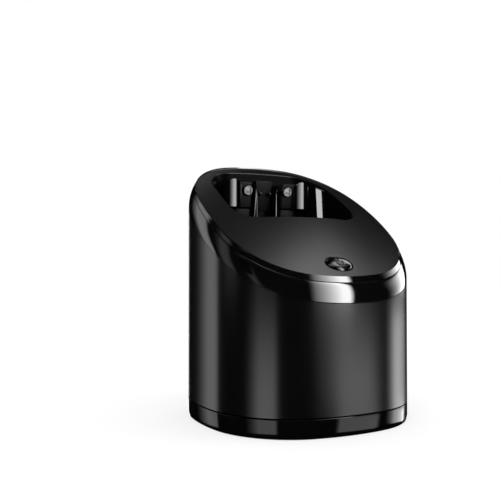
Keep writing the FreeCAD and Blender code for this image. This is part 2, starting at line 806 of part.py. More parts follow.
def recess_liner():
    outside = recess_column("liner_outside", "liner_wall")
    inside = recess_column("liner_inside", 0, f"{RECESS_FLOOR} + liner_wall")
    mouth = bowl_column("liner_mouth", 0, f"{RECESS_FLOOR} - {PAST}", f"liner_wall + 2 * {PAST}")
    cup = cut("liner_cup", outside, inside, mouth)
    return keep(common("liner", cup, crowned_solid("liner_ball", "deck_thickness + fit_gap")), "recess_liner")


def bowl_column(name, grow, bottom, height):
    body = new_body(name)
    outline = rounded_rectangle(
        sketch(body, f"{name}_outline", bottom),
        f"-{BOWL_HALF} - ({grow})", f"{BOWL_HALF} + ({grow})",
        f"-{BOWL_FRONT} - ({grow})", f"{BOWL_REAR} + ({grow})", f"bowl_radius + ({grow})")
    pad(body, outline, height)
    return body


def wash_bowl():
    outside = bowl_column("bowl_outside", "bowl_wall", BOWL_FLOOR, "bowl_depth")
    inside = bowl_column("bowl_inside", 0, f"{BOWL_FLOOR} + bowl_wall", "bowl_depth")
    spout = cylinder("bowl_spout", "drain_side", "port_back", SPOUT_BOTTOM, SPOUT_RADIUS,
                     f"{BOWL_FLOOR} - {SPOUT_BOTTOM}")
    bore = cylinder("bowl_bore", "drain_side", "port_back", f"{SPOUT_BOTTOM} - {PAST}",
                    "port_radius - bowl_wall / 2", f"{BOWL_FLOOR} - {SPOUT_BOTTOM} + {SPARE}")
    feed = rod("bowl_feed_hole", f"-{TUBE_X}", f"-{BOWL_FRONT} - bowl_wall - {PAST}", SUPPLY_HEIGHT,
               "tube_radius + fit_gap", f"bowl_wall + 2 * {PAST}")
    return keep(cut("bowl", fuse("bowl_body", outside, spout), inside, bore, feed), "wash_bowl")


# ---------------------------------------------------------------- fittings on the rear wall of the recess
def contact_tower():
    face = f"({RECESS_REAR} - tower_depth)"
    bottom = f"({RECESS_FLOOR} + tower_rise)"
    pin_height = f"({bottom} + pin_rise)"
    block = box("tower_block", "-tower_width / 2", face, bottom, "tower_width", "tower_depth", "tower_height")
    bores = [rod(f"tower_bore_{label}", f"{sign} * pin_spacing / 2", f"{face} - {PAST}", pin_height,
                 "pin_radius + slide_gap", f"tower_depth + 2 * {PAST}") for label, sign in SIDES]
    keep(cut("tower", block, *bores), "contact_tower")
    for label, sign in SIDES:
        x = f"{sign} * pin_spacing / 2"
        stem = rod(f"pin_{label}_stem", x, f"{face} - pin_reach", pin_height, "pin_radius",
                   "pin_reach + tower_depth - pin_travel - slide_gap")
        keep(stem, f"contact_pin_{label}")


def rest_blocks_and_fins():
    bottom = f"({RECESS_FLOOR} + rest_rise)"
    face = f"({RECESS_REAR} - rest_depth)"
    screw_z = f"({bottom} + rest_screw_rise)"
    for label, sign in SIDES:
        middle = f"{sign} * (rest_inner + rest_width / 2)"
        screw_x = f"{sign} * rest_screw_side"
        block = box(f"rest_{label}_block", f"{middle} - rest_width / 2", face, bottom, "rest_width",
                    "rest_depth", "rest_height")
        hole = rod(f"rest_{label}_hole", screw_x, f"{face} - {PAST}", screw_z, "screw_radius + fit_gap",
                   "rest_depth")
        keep(cut(f"rest_{label}", block, hole), f"rest_block_{label}")
        head = rod(f"rest_screw_{label}_head", screw_x, f"{face} - screw_head", screw_z, "rest_screw_radius",
                   "screw_head")
        shank = rod(f"rest_screw_{label}_shank", screw_x, face, screw_z, "screw_radius",
                    "rest_depth - screw_head - fit_gap")
        keep(fuse(f"rest_screw_{label}_body", head, shank), f"rest_screw_{label}")
        fin_left = f"({sign} * (rest_inner + rest_width + fit_gap + fin_width / 2) - fin_width / 2)"
        plate = box(f"fin_{label}_plate", fin_left, f"{RECESS_REAR} - fin_depth", bottom, "fin_width",
                    "fin_depth", "fin_height - fin_width / 2")
        crown = rod(f"fin_{label}_crown", f"{fin_left} + fin_width / 2", f"{RECESS_REAR} - fin_depth",
                    f"{bottom} + fin_height - fin_width / 2", "fin_width / 2", "fin_depth")
        room = recess_column(f"fin_{label}_room", "-fit_gap")
        keep(common(f"fin_{label}", fuse(f"fin_{label}_body", plate, crown), room), f"guide_fin_{label}")


# ---------------------------------------------------------------- start button and its switch
def start_button():
    cap = button_disc("start_cap", "0", "start_height", BUTTON_FOOT, "start_edge")
    return keep(cap, "start_button")


def switch_and_button_board():
    knob = doc.addObject("Part::Box", "switch_box")
    board = doc.addObject("Part::Box", "button_board_box")
    sizes = (
        (knob, "start_switch", "switch_size", "switch_size", "switch_height", SWITCH_FOOT),
        (board, "button_board", "button_board_width", "button_board_length", "board_thickness",
         f"({SWITCH_FOOT} + board_thickness)"),
    )
    for target, label, width, length, height, depth in sizes:
        for side, text in (("Length", width), ("Width", length), ("Height", height)):
            bind(target, side, text)
        turned = doc.addObject("Part::Compound", f"{label}_turned")
        bind(target, "Placement.Base.x", f"-({width}) / 2")
        bind(target, "Placement.Base.y", f"-({length}) / 2")
        bind(target, "Placement.Base.z", f"-{depth}")
        turned.Links = [target]
        keep(on_deck(turned), label)


# ---------------------------------------------------------------- frame, sleeves, seals and latch
PORTS = {"feed": "-feed_side", "drain": "drain_side"}


def inner_frame():
    body = new_body("frame")
    pad(body, oval(sketch(body, "frame_outline", FRAME_BOTTOM), "wall + fit_gap"), "frame_thickness")
    posts = [(f"{sign} * {POST_SIDE}", "0") for _, sign in SIDES]
    ports = [(x, "port_back") for x in PORTS.values()]
    for name, places, radius in (
        ("frame_post_holes", posts, "post_radius + slide_gap"),
        ("frame_port_holes", ports, f"{SPOUT_RADIUS} + fit_gap"),
        ("frame_screw_holes", boss_places(), "screw_radius + fit_gap"),
    ):
        holes = circles(sketch(body, name, FRAME_BOTTOM), places, radius)
        pocket(body, holes, "frame_thickness", reverse=True)
    for name, half, front, rear in (
        ("frame_catch_hole", "(catch_width / 2 + catch_gap)",
         f"-{CATCH_BACK} - catch_depth - catch_hook - catch_gap", f"-{CATCH_BACK} + catch_gap"),
        ("frame_tab_slot", "(slider_width / 2 + slot_gap)", f"{TAB_FRONT} - lift_travel - slot_gap", FRONT),
    ):
        slot = polygon(sketch(body, name, FRAME_BOTTOM),
                       [(f"-{half}", front), (half, front), (half, rear), (f"-{half}", rear)])
        pocket(body, slot, "frame_thickness", reverse=True)
    return keep(body, "inner_frame")


def guide_sleeves():
    for label, sign in SIDES:
        x = f"{sign} * {POST_SIDE}"
        outside = cylinder(f"sleeve_{label}_outside", x, 0, SLEEVE_BOTTOM, "sleeve_radius",
                           f"{FRAME_BOTTOM} - {SLEEVE_BOTTOM}")
        bore = cylinder(f"sleeve_{label}_bore", x, 0, f"{SLEEVE_BOTTOM} - {PAST}", "post_radius + slide_gap",
                        FRAME_BOTTOM)
        keep(cut(f"sleeve_{label}", outside, bore), f"guide_sleeve_{label}")


def frame_screws():
    for name, x, y in boss_places():
        head = cylinder(f"frame_{name}_head", x, y, f"{FRAME_BOTTOM} - screw_head", "screw_head_radius",
                        "screw_head")
        shank = cylinder(f"frame_{name}_shank", x, y, FRAME_BOTTOM, "screw_radius", "screw_length")
        keep(fuse(f"frame_screw_{name}_body", head, shank), f"frame_screw_{name}")


def port_seals():
    for (label, x), bore_radius in zip(PORTS.items(), ("tube_radius", SPOUT_RADIUS)):
        low = f"({CARTRIDGE_TOP} + cartridge_gap)"
        ring = cylinder(f"{label}_ring", x, "port_back", low, "seal_radius", f"{FRAME_BOTTOM} - {low}")
        bore = cylinder(f"{label}_ring_bore", x, "port_back", f"{low} - {PAST}", f"{bore_radius} + fit_gap",
                        FRAME_BOTTOM)
        keep(cut(f"{label}_seal_body", ring, bore), f"{label}_seal")


def latch_slider():
    nose_front = f"({CATCH_BACK} + catch_depth + catch_hook + slide_gap + slider_nose)"
    plate = box("slider_plate", "-slider_width / 2", f"-{nose_front}", SLIDER_BOTTOM, "slider_width",
                f"{nose_front} + {TAB_FRONT} + slider_thickness", "slider_thickness")
    window = box("slider_window", "-catch_width / 2 - slot_gap", f"-{nose_front} + slider_nose",
                 f"{SLIDER_BOTTOM} - {PAST}", "catch_width + 2 * slot_gap",
                 "catch_depth + catch_hook + lift_travel + catch_gap", f"slider_thickness + 2 * {PAST}")
    tab = box("slider_tab", "-slider_width / 2", TAB_FRONT, SLIDER_BOTTOM, "slider_width", "slider_thickness",
              f"{LIFT_BOTTOM} + lift_height / 2 - {SLIDER_BOTTOM}")
    return keep(cut("slider", fuse("slider_body", plate, tab), window), "latch_slider")


def lift_button():
    body = new_body("lift_block")
    outline = rounded_rectangle(
        sketch(body, "lift_outline", f"-{FRONT}", role="XZ_Plane"), "-lift_width / 2", "lift_width / 2",
        LIFT_BOTTOM, f"{LIFT_BOTTOM} + lift_height", "lift_radius")
    pad(body, outline, "lift_depth + lift_inset")
    column = prism("lift_column", "lift_inset")
    return keep(common("lift", body, column), "lift_button")


# ---------------------------------------------------------------- pump and tubes
PUMP_Y = f"(pump_inset - {FRONT})"
OUTLET_TURN = "30 deg"    # the outlet leaves the drum this far round from straight back
ROTOR_TURNS = (0, 90)
BLADE_TURNS = (0, 60, 120)
ROTOR_BOTTOM = f"({FRAME_TOP} + pump_wall + slide_gap)"
MOTOR_BOTTOM = f"({FRAME_TOP} + pump_height + pump_wall)"
TUBE_X = f"(pump_side - pump_radius * sin({OUTLET_TURN}))"
TUBE_Y = f"({PUMP_Y} + pump_radius * cos({OUTLET_TURN}))"
TUBE_START = f"({FRAME_TOP} + pump_height / 2)"
SUPPLY_HEIGHT = f"({BOWL_FLOOR} + tube_rise)"


def pump():
    x, y = "-pump_side", PUMP_Y
    drum = cylinder("pump_drum", x, y, FRAME_TOP, "pump_radius", "pump_height")
    chamber = cylinder("pump_chamber", x, y, f"{FRAME_TOP} + pump_wall", "rotor_radius + rotor_gap",
                       "pump_height")
    outlet = rod("pump_outlet", f"-{TUBE_X}", y, TUBE_START, "tube_radius + fit_gap", f"pump_radius + {PAST}")
    inlet = rod("pump_inlet", "-feed_side", y, TUBE_START, "tube_radius + fit_gap", f"pump_radius + {PAST}")
    keep(cut("pump_body", drum, chamber, outlet, inlet), "pump_housing")
    disc = cylinder("rotor_disc", x, y, ROTOR_BOTTOM, "rotor_radius / 2", "rotor_height")
    shaft = cylinder("rotor_shaft", x, y, ROTOR_BOTTOM, "rotor_shaft_radius",
                     "rotor_height + rotor_shaft_length")
    vanes = [vane(f"rotor_vane_{turn}", turn, x, y, ROTOR_BOTTOM, "(rotor_radius - vane_gap)",
                  "board_thickness", "rotor_height") for turn in ROTOR_TURNS]
    keep(fuse("rotor", disc, shaft, *vanes), "pump_rotor")
    lid = cylinder("pump_lid", x, y, f"{FRAME_TOP} + pump_height", "pump_radius", "pump_wall")
    lid_hole = cylinder("pump_lid_hole", x, y, FRAME_TOP, "rotor_shaft_radius + slide_gap",
                        f"pump_height + pump_wall + {PAST}")
    keep(cut("pump_lid_body", lid, lid_hole), "pump_cover")
    can = cylinder("motor_can", x, y, MOTOR_BOTTOM, "motor_radius", "motor_height")
    can_hole = cylinder("motor_hole", x, y, FRAME_TOP, "rotor_shaft_radius + slide_gap",
                        f"{MOTOR_BOTTOM} - {FRAME_TOP} + rotor_shaft_length")
    keep(cut("motor_body", can, can_hole), "pump_motor")


def tube(name, x, points):
    """Hose in a plane of constant X, through (y, z) points with round bends."""
    y_z = [(number(y), number(z)) for y, z in points]
    corners = [FreeCAD.Vector(number(x), y, z) for y, z in y_z]
    bend = number("tube_bend")
    edges = []
    last = corners[0]
    for before, corner, after in zip(corners, corners[1:], corners[2:]):
        back = (before - corner).normalize() * bend
        ahead = (after - corner).normalize() * bend
        middle = corner + (back + ahead) * (1 - math.sqrt(0.5))
        edges.append(Part.LineSegment(last, corner + back).toShape())
        edges.append(Part.Arc(corner + back, middle, corner + ahead).toShape())
        last = corner + ahead
    edges.append(Part.LineSegment(last, corners[-1]).toShape())
    spine = Part.Wire(edges)
    start = (corners[1] - corners[0]).normalize()
    solids = []
    for radius in (number("tube_radius"), number("tube_bore")):
        ring = Part.Wire(Part.Circle(corners[0], start, radius).toShape())
        solids.append(spine.makePipeShell([ring], True, False))
    target = doc.addObject("Part::Feature", name)
    target.Shape = solids[0].cut(solids[1])
    return keep(target, name)


def tubes():
    tube("suction_tube", "-feed_side", [
        ("port_back", f"{CARTRIDGE_TOP} + cartridge_gap + fit_gap"),
        ("port_back", TUBE_START),
        (f"{PUMP_Y} + rotor_radius + pump_wall", TUBE_START),
    ])
    riser_y = f"-{BOWL_FRONT} - bowl_wall - riser_gap"
    tube("supply_tube", f"-{TUBE_X}", [
        (f"{TUBE_Y} - pump_wall", TUBE_START),
        (riser_y, TUBE_START),
        (riser_y, SUPPLY_HEIGHT),
        (f"-{BOWL_FRONT}", SUPPLY_HEIGHT),
    ])


# ---------------------------------------------------------------- fan
def fan():
    x, y = "fan_side", f"(fan_inset - {FRONT})"
    block = centred_box("fan_block", x, y, FRAME_TOP, "fan_size", "fan_size", "fan_height")
    bore = cylinder("fan_bore", x, y, f"{FRAME_TOP} + pump_wall", "fan_bore_radius", "fan_height")
    pin = cylinder("fan_pin", x, y, FRAME_TOP, "rotor_shaft_radius", "fan_height - pump_wall")
    keep(fuse("fan_case", cut("fan_case_block", block, bore), pin), "fan_housing")
    low = f"({FRAME_TOP} + pump_wall + slide_gap)"
    tall = "(fan_height - pump_wall - slide_gap - fan_top_gap)"
    hub = cylinder("fan_hub", x, y, low, "fan_hub_radius", tall)
    blades = [vane(f"fan_blade_{turn}", turn, x, y, low, "(fan_bore_radius - fan_blade_gap)",
                   "fan_blade_width", tall) for turn in BLADE_TURNS]
    spindle = cylinder("fan_spindle", x, y, FRAME_TOP, "rotor_shaft_radius + slide_gap",
                       f"fan_height + {PAST}")
    keep(cut("fan_wheel", fuse("fan_wheel_body", hub, *blades), spindle), "fan_rotor")


# ---------------------------------------------------------------- electronics and power inlet
def main_board():
    board = box("main_board_box", f"{SIDE} - main_board_inset", "-main_board_length / 2 + port_back",
                FRAME_TOP, "board_thickness", "main_board_length", "main_board_height")
    return keep(board, "main_board")


def power_socket():
    body = new_body("socket_block")
    outline = rounded_rectangle(
        sketch(body, "socket_outline", f"-{FRONT}", role="XZ_Plane"),
        "-socket_side - socket_width / 2", "-socket_side + socket_width / 2",
        SOCKET_BOTTOM, f"{SOCKET_BOTTOM} + socket_height", "socket_wall")
    pad(body, outline, "socket_depth")
    column = prism("socket_column", "socket_inset")
    back = f"({FRONT} - socket_depth + socket_back)"
    cavity = box("socket_cavity_box", "-socket_side - socket_width / 2 + socket_wall",
                 back, f"{SOCKET_BOTTOM} + socket_wall",
                 "socket_width - socket_wall * 2", "socket_depth", "socket_height - socket_wall * 2")
    keep(cut("socket", common("socket_trimmed", body, column), cavity), "power_socket")
    for label, sign in SIDES:
        pin = rod(f"socket_{label}_rod", f"-socket_side + {sign} * socket_pin_spacing / 2", back,
                  f"{SOCKET_BOTTOM} + socket_height / 2", "socket_pin_radius", "socket_pin_length")
        keep(pin, f"socket_pin_{label}")


# ---------------------------------------------------------------- cartridge
def cartridge_column(name, inset, bottom, height):
    """Column with the cartridge's plan: a rounded rectangle whose rear follows the body's outline."""
    body = new_body(name)
    outline = rounded_rectangle(
        sketch(body, f"{name}_outline", bottom),
        f"-{CARTRIDGE_HALF} + ({inset})", f"{CARTRIDGE_HALF} - ({inset})",
        f"-{CARTRIDGE_FRONT} + ({inset})", f"{FRONT} + cartridge_radius", f"cartridge_radius - ({inset})")
    pad(body, outline, height)
    rear = prism(f"{name}_rear", f"cartridge_inset + ({inset})", bottom, height)
    return common(f"{name}_column", body, rear)


def cartridge():
    top = f"({CARTRIDGE_TOP} - lid_thickness)"
    grip_bottom = f"({top} - grip_drop - grip_height)"
    grip_back = f"({FRONT} - cartridge_inset - grip_depth)"
    outside = cartridge_column("tank_outside", 0, CARTRIDGE_BOTTOM, f"{top} - {CARTRIDGE_BOTTOM}")
    inside = cartridge_column("tank_inside", "cartridge_wall", f"{CARTRIDGE_BOTTOM} + cartridge_wall", top)
    grip = box("tank_grip", "-grip_width / 2", grip_back, grip_bottom, "grip_width", f"grip_depth + {SPARE}",
               "grip_height")
    pocket_wall = box("tank_grip_wall", "-grip_width / 2 - cartridge_wall", f"{grip_back} - cartridge_wall",
                      f"{grip_bottom} - cartridge_wall", "grip_width + cartridge_wall * 2",
                      "grip_depth", "grip_height + cartridge_wall * 2")
    walls = fuse("tank_walls", cut("tank_cup", outside, inside), pocket_wall)
    keep(cut("tank", walls, grip), "cartridge_tank")
    plate = cartridge_column("lid_plate", 0, top, "lid_thickness")
    ports = [cylinder(f"lid_port_{label}", x, "port_back", f"{top} - {PAST}", "port_radius",
                      f"lid_thickness + 2 * {PAST}") for label, x in PORTS.items()]
    keep(cut("lid", plate, *ports), "cartridge_lid")
    block = box("filter_block", "-filter_width / 2",
                f"-{CARTRIDGE_FRONT} + cartridge_wall + cartridge_radius",
                f"{CARTRIDGE_BOTTOM} + cartridge_wall", "filter_width", "filter_depth", "filter_height")
    keep(block, "cartridge_filter")


# ---------------------------------------------------------------- build, check and write
def build():
    base_tray()
    base_cover()
    feet_and_base_screws()
    guide_posts_and_springs()
    latch_catch()
    body_shell()
    trim_band()
    top_rim()
    deck_panel()
    recess_liner()
    wash_bowl()
    contact_tower()
    rest_blocks_and_fins()
    start_button()
    switch_and_button_board()
    inner_frame()
    guide_sleeves()
    frame_screws()
    port_seals()
    latch_slider()
    lift_button()
    pump()
    tubes()
    fan()
    main_board()
    power_socket()
    cartridge()
    doc.recompute()


def check():
    """Stop when an object has failed or a sub-part has no sound solid."""
    for target in doc.Objects:
        if "Invalid" in target.State or "Error" in target.State:
            raise RuntimeError(f"{target.Name} failed: {target.State}")
    for node in NODES:
        shape = node.Shape
        if shape.isNull() or not shape.isValid() or not shape.Solids:
            raise RuntimeError(f"{node.Label} has no valid solid")


def write():
    os.makedirs("parts", exist_ok=True)
    for node in NODES:
        node.Shape.exportStep(f"parts/{node.Label}.step")
        print(f"{node.Label}: {node.Shape.Volume:.1f} mm3, {len(node.Shape.Solids)} solid")


build()
check()
write()
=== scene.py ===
import json
import math

import bmesh
import bpy
from bmesh.types import BMEdge, BMVert
from mathutils import Matrix, Vector


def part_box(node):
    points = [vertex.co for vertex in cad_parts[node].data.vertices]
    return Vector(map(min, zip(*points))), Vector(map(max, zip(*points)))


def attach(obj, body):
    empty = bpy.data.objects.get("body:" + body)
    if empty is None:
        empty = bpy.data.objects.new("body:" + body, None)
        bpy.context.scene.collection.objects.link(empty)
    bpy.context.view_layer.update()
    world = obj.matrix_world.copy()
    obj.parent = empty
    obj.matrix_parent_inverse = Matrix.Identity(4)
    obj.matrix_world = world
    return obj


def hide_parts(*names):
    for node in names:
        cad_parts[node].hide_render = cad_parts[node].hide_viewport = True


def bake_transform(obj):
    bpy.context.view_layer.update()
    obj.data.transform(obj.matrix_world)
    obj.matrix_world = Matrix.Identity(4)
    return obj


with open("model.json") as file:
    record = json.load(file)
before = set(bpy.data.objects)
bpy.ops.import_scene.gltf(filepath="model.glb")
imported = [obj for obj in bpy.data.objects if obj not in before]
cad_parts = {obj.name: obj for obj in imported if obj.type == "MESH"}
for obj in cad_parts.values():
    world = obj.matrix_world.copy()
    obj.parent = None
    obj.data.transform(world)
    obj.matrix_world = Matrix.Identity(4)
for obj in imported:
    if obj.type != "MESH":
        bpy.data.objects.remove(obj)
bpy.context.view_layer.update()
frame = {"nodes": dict(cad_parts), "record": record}        # bodies, nodes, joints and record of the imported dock
print("dock: frame loaded")

# Plan outline of the dock: eight tangent arcs, in metres, all worked out from these radii and the CAD box.
plan = {"sideRadius": 0.122, "endRadius": 0.125, "cornerRadius": 0.050,
        "sideSteps": 14, "cornerSteps": 26, "endSteps": 14}
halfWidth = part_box("base_tray")[1].x
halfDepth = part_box("base_tray")[1].y

# Heights of the slanted layers at the front and rear faces, their insets, and the crown of the deck.
layers = {
    "shell": (0.07093, 0.14768), "band": (0.0802, 0.1596), "deck": (0.08333, 0.16157),
    "bandInset": 0.003, "rimInset": 0.0044, "innerInset": 0.0056, "topInset": 0.0048, "fitGap": 0.0001,
    "crownRadius": 0.600, "crownRise": 0.0032, "deckThickness": 0.0025, "deckUnderGap": 0.0002,
}

toFront = Matrix.Rotation(math.pi / 2, 4, "X")       # turns what points up to the front
tiny = 1e-6              # points nearer than this are one point
past = 0.001             # how far a cutter reaches beyond the surface that it cuts
farPast = 0.005
handed = {"right": 1, "left": -1}


# Mesh helpers
def only(kind, items):
    return [item for item in items if isinstance(item, kind)]


def shares(steps):
    return [index / steps for index in range(steps + 1)]


def vertsOf(edges):
    return list({vert for edge in edges for vert in edge.verts})


def edgesAmong(bm, verts):
    chain = set(verts)
    return [edge for edge in bm.edges if edge.verts[0] in chain and edge.verts[1] in chain]


def shear(row, column, slope, level=0.0):
    # matrix that moves along one axis in step with another, and leaves the given level in place
    matrix = Matrix.Identity(4)
    matrix[row][column] = slope
    matrix[row][3] = -slope * level
    return matrix


def move(bm, matrix, verts=None):
    bmesh.ops.transform(bm, matrix=matrix, verts=verts or bm.verts)


def walk(bm, start, moves):
    # draws a closed chain of edges: (step, count) moves straight, (centre, turn, count) moves round a centre
    before = set(bm.verts)
    first = last = bmesh.ops.create_vert(bm, co=start)["vert"][0]
    for item in moves:
        if len(item) == 2:
            step, count = item
            for _ in range(count):
                last = bmesh.ops.extrude_vert_indiv(bm, verts=[last])["verts"][0]
                last.co += Vector(step) / count
        else:
            centre, turn, count = item
            made = bmesh.ops.spin(bm, geom=[last], cent=centre, axis=(0, 0, 1), angle=turn, steps=count)
            last = only(BMVert, made["geom_last"])[0]
    bmesh.ops.weld_verts(bm, targetmap={last: first})
    return edgesAmong(bm, set(bm.verts) - before)


def arcCentres():
    # centres of the right side's, the rear end's and the rear right corner's arc
    sideX = halfWidth - plan["sideRadius"]
    endY = halfDepth - plan["endRadius"]
    sideReach = plan["sideRadius"] - plan["cornerRadius"]
    endReach = plan["endRadius"] - plan["cornerRadius"]
    span = math.hypot(sideX, endY)
    along = (sideReach ** 2 - endReach ** 2 + span ** 2) / (2 * span)
    across = math.sqrt(sideReach ** 2 - along ** 2)
    unitX, unitY = -sideX / span, endY / span
    return sideX, endY, sideX + along * unitX - across * unitY, along * unitY + across * unitX


sideX, endY, cornerX, cornerY = arcCentres()


def planRing(bm, inset, front=0.0, rear=None, lift=0.0):
    # one turn of the dock's outline, moved inwards and laid on a plane with these front and rear heights
    rear = front if rear is None else rear
    sideTurn = math.atan2(cornerY, cornerX - sideX)
    endTurn = math.atan2(cornerY - endY, cornerX)
    cornerSweep = endTurn - sideTurn
    reach = plan["sideRadius"] - inset
    start = (sideX + reach * math.cos(-sideTurn), reach * math.sin(-sideTurn), 0.0)
    moves = []
    for half in (1, -1):
        moves += [
            ((half * sideX, 0, 0), 2 * sideTurn, plan["sideSteps"]),
            ((half * cornerX, half * cornerY, 0), cornerSweep, plan["cornerSteps"]),
            ((0, half * endY, 0), math.pi - 2 * endTurn, plan["endSteps"]),
            ((-half * cornerX, half * cornerY, 0), cornerSweep, plan["cornerSteps"]),
        ]
    ring = walk(bm, start, moves)
    slope = shear(2, 1, (rear - front) / (2 * halfDepth))
    slope[2][3] = (rear + front) / 2 + lift
    move(bm, slope, vertsOf(ring))
    return ring


def roundedRing(bm, left, right, front, rear, frontRadius, rearRadius, height=0.0):
    # rounded rectangle with as many points as the outline, so that the two bridge evenly
    sides, corners, ends = plan["sideSteps"], plan["cornerSteps"], plan["endSteps"]
    quarter = math.pi / 2
    return walk(bm, (right, front + frontRadius, height), [
        ((0, rear - rearRadius - front - frontRadius, 0), sides),
        ((right - rearRadius, rear - rearRadius, height), quarter, corners),
        ((left - right + 2 * rearRadius, 0, 0), ends),
        ((left + rearRadius, rear - rearRadius, height), quarter, corners),
        ((0, front + frontRadius - rear + rearRadius, 0), sides),
        ((left + frontRadius, front + frontRadius, height), quarter, corners),
        ((right - left - 2 * frontRadius, 0, 0), ends),
        ((right - frontRadius, front + frontRadius, height), quarter, corners),
    ])


def bridge(bm, *rings):
    apart = Vector((0, 0, 0.05))     # rings on one level would join crosswise, so one is lifted meanwhile
    for lower, upper in zip(rings, rings[1:]):
        bmesh.ops.translate(bm, vec=apart, verts=vertsOf(upper))
        bmesh.ops.bridge_loops(bm, edges=lower + upper)
        bmesh.ops.translate(bm, vec=-apart, verts=vertsOf(upper))


def lid(bm, ring):
    bmesh.ops.contextual_create(bm, geom=vertsOf(ring) + list(ring))


def stack(bm, rings):
    # bridges a pile of rings and closes both ends
    bridge(bm, *rings)
    lid(bm, rings[0])
    lid(bm, rings[-1])


def raised(bm, outline, height):
    # closes an outline and pulls it up to a block; gives back the upper points
    lid(bm, outline)
    made = bmesh.ops.extrude_face_region(bm, geom=list(bm.faces))["geom"]
    upper = only(BMVert, made)
    bmesh.ops.translate(bm, vec=(0, 0, height), verts=upper)
    return upper


def fillet(radius, steps=6):
    # (inwards, upwards) places of a hollow rounding, from its wall down to its floor
    turns = [math.pi / 2 * share for share in shares(steps)]
    return [(radius * (1 - math.cos(turn)), radius * (1 - math.sin(turn))) for turn in turns]


def wireEnd(bm, wire, sides, place, filled=False):
    # small upright circle that a spin about the vertical draws out to a wire
    verts = bmesh.ops.create_circle(bm, cap_ends=filled, segments=sides, radius=wire)["verts"]
    move(bm, Matrix.Translation(place) @ toFront, verts)
    return verts


def between(lower, upper, share):
    return tuple(low + (high - low) * share for low, high in zip(layers[lower], layers[upper]))


deckTilt = math.atan((layers["deck"][1] - layers["deck"][0]) / (2 * halfDepth))
deckMiddle = sum(layers["deck"]) / 2
crownDrop = layers["crownRadius"] - layers["crownRise"]
crownCentre = Vector((0, crownDrop * math.sin(deckTilt), deckMiddle - crownDrop * math.cos(deckTilt)))


def onCrown(ring, depth=0.0):
    # raises or lowers every point of a ring to the crowned deck surface, or to a skin depth under it
    reach = layers["crownRadius"] - depth
    for vert in vertsOf(ring):
        aside = vert.co.x ** 2 + (vert.co.y - crownCentre.y) ** 2
        vert.co.z = crownCentre.z + math.sqrt(reach ** 2 - aside)
    return ring


def makeObject(bm, name):
    bmesh.ops.remove_doubles(bm, verts=bm.verts, dist=tiny)
    bmesh.ops.recalc_face_normals(bm, faces=bm.faces)
    mesh = bpy.data.meshes.new(name)
    bm.to_mesh(mesh)
    bm.free()
    mesh.shade_smooth()
    piece = bpy.data.objects.new(name, mesh)
    bpy.context.scene.collection.objects.link(piece)
    return piece


def soften(piece, width, segments=3, angle=30):
    rounding = piece.modifiers.new("rounding", "BEVEL")
    rounding.width = width
    rounding.segments = segments
    rounding.limit_method = "ANGLE"
    rounding.angle_limit = math.radians(angle)
    rounding.miter_outer = "MITER_ARC"
    rounding.use_clamp_overlap = True
    shading = piece.modifiers.new("shading", "WEIGHTED_NORMAL")
    shading.keep_sharp = True


def crease(piece, angle=35):
    piece.data.set_sharp_from_angle(angle=math.radians(angle))


def mirrored(piece, hand):
    if hand < 0:
        piece.data.transform(Matrix.Diagonal((hand, 1, 1, 1)))
        piece.data.flip_normals()
    return piece


def carve(piece, cutter, operation="DIFFERENCE"):
    # cuts, joins or intersects at once, and takes the cutter away
    tool = piece.modifiers.new("carve", "BOOLEAN")
    tool.object = cutter
    tool.operation = operation
    tool.solver = "EXACT"
    bpy.context.view_layer.objects.active = piece
    bpy.ops.object.modifier_apply(modifier=tool.name)
    bpy.data.objects.remove(cutter)


def block(name, low, high, rounding=0.0, segments=3):
    bm = bmesh.new()
    bmesh.ops.create_cube(bm, size=1)
    low, high = Vector(low), Vector(high)
    bmesh.ops.scale(bm, vec=high - low, verts=bm.verts)
    bmesh.ops.translate(bm, vec=(low + high) / 2, verts=bm.verts)
    if rounding:
        bmesh.ops.bevel(bm, geom=bm.edges, offset=rounding, segments=segments, profile=0.5,
                        affect="EDGES", material=-1)
    return makeObject(bm, name)


def standing(bm, name, centre, facing):
    # makes an object of a shape drawn about Z, with its upper end up or towards the front
    turn = toFront if facing == "front" else Matrix.Identity(4)
    move(bm, Matrix.Translation(centre) @ turn)
    return makeObject(bm, name)


def cylinder(bm, radius, length, segments):
    return bmesh.ops.create_cone(bm, cap_ends=True, segments=segments, radius1=radius, radius2=radius,
                                 depth=length)["verts"]


def drum(name, centre, radius, length, facing="up", segments=48):
    bm = bmesh.new()
    cylinder(bm, radius, length, segments)
    return standing(bm, name, centre, facing)


def lathe(name, profile, centre, facing="up", steps=64):
    # turns a profile of (radius, height) points about an axis through a centre
    bm = bmesh.new()
    verts = [bmesh.ops.create_vert(bm, co=(radius, 0, height))["vert"][0] for radius, height in profile]
    edges = [bm.edges.new(pair) for pair in zip(verts, verts[1:])]
    bmesh.ops.spin(bm, geom=verts + edges, cent=(0, 0, 0), axis=(0, 0, 1), angle=2 * math.pi, steps=steps,
                   use_merge=True)
    return standing(bm, name, centre, facing)


# Shader helpers
class Value:
    # one shader socket; expressions on values add Math nodes
    def __init__(self, tree, socket):
        self.tree = tree
        self.socket = socket

    def maths(self, operation, *others):
        node = self.tree.nodes.new("ShaderNodeMath")
        node.operation = operation
        for place, item in zip(node.inputs, (self, *others)):
            connect(self.tree, place, item)
        return Value(self.tree, node.outputs[0])

    def __add__(self, other):
        return self.maths("ADD", other)

    def __sub__(self, other):
        return self.maths("SUBTRACT", other)

    def __rsub__(self, other):
        return (self * -1) + other

    def __mul__(self, other):
        return self.maths("MULTIPLY", other)

    def __truediv__(self, other):
        return self.maths("DIVIDE", other)

    def __pow__(self, other):
        return self.maths("POWER", other)

    __radd__ = __add__
    __rmul__ = __mul__


def connect(tree, place, item):
    if isinstance(item, Value):
        tree.links.new(item.socket, place)
    else:
        place.default_value = item


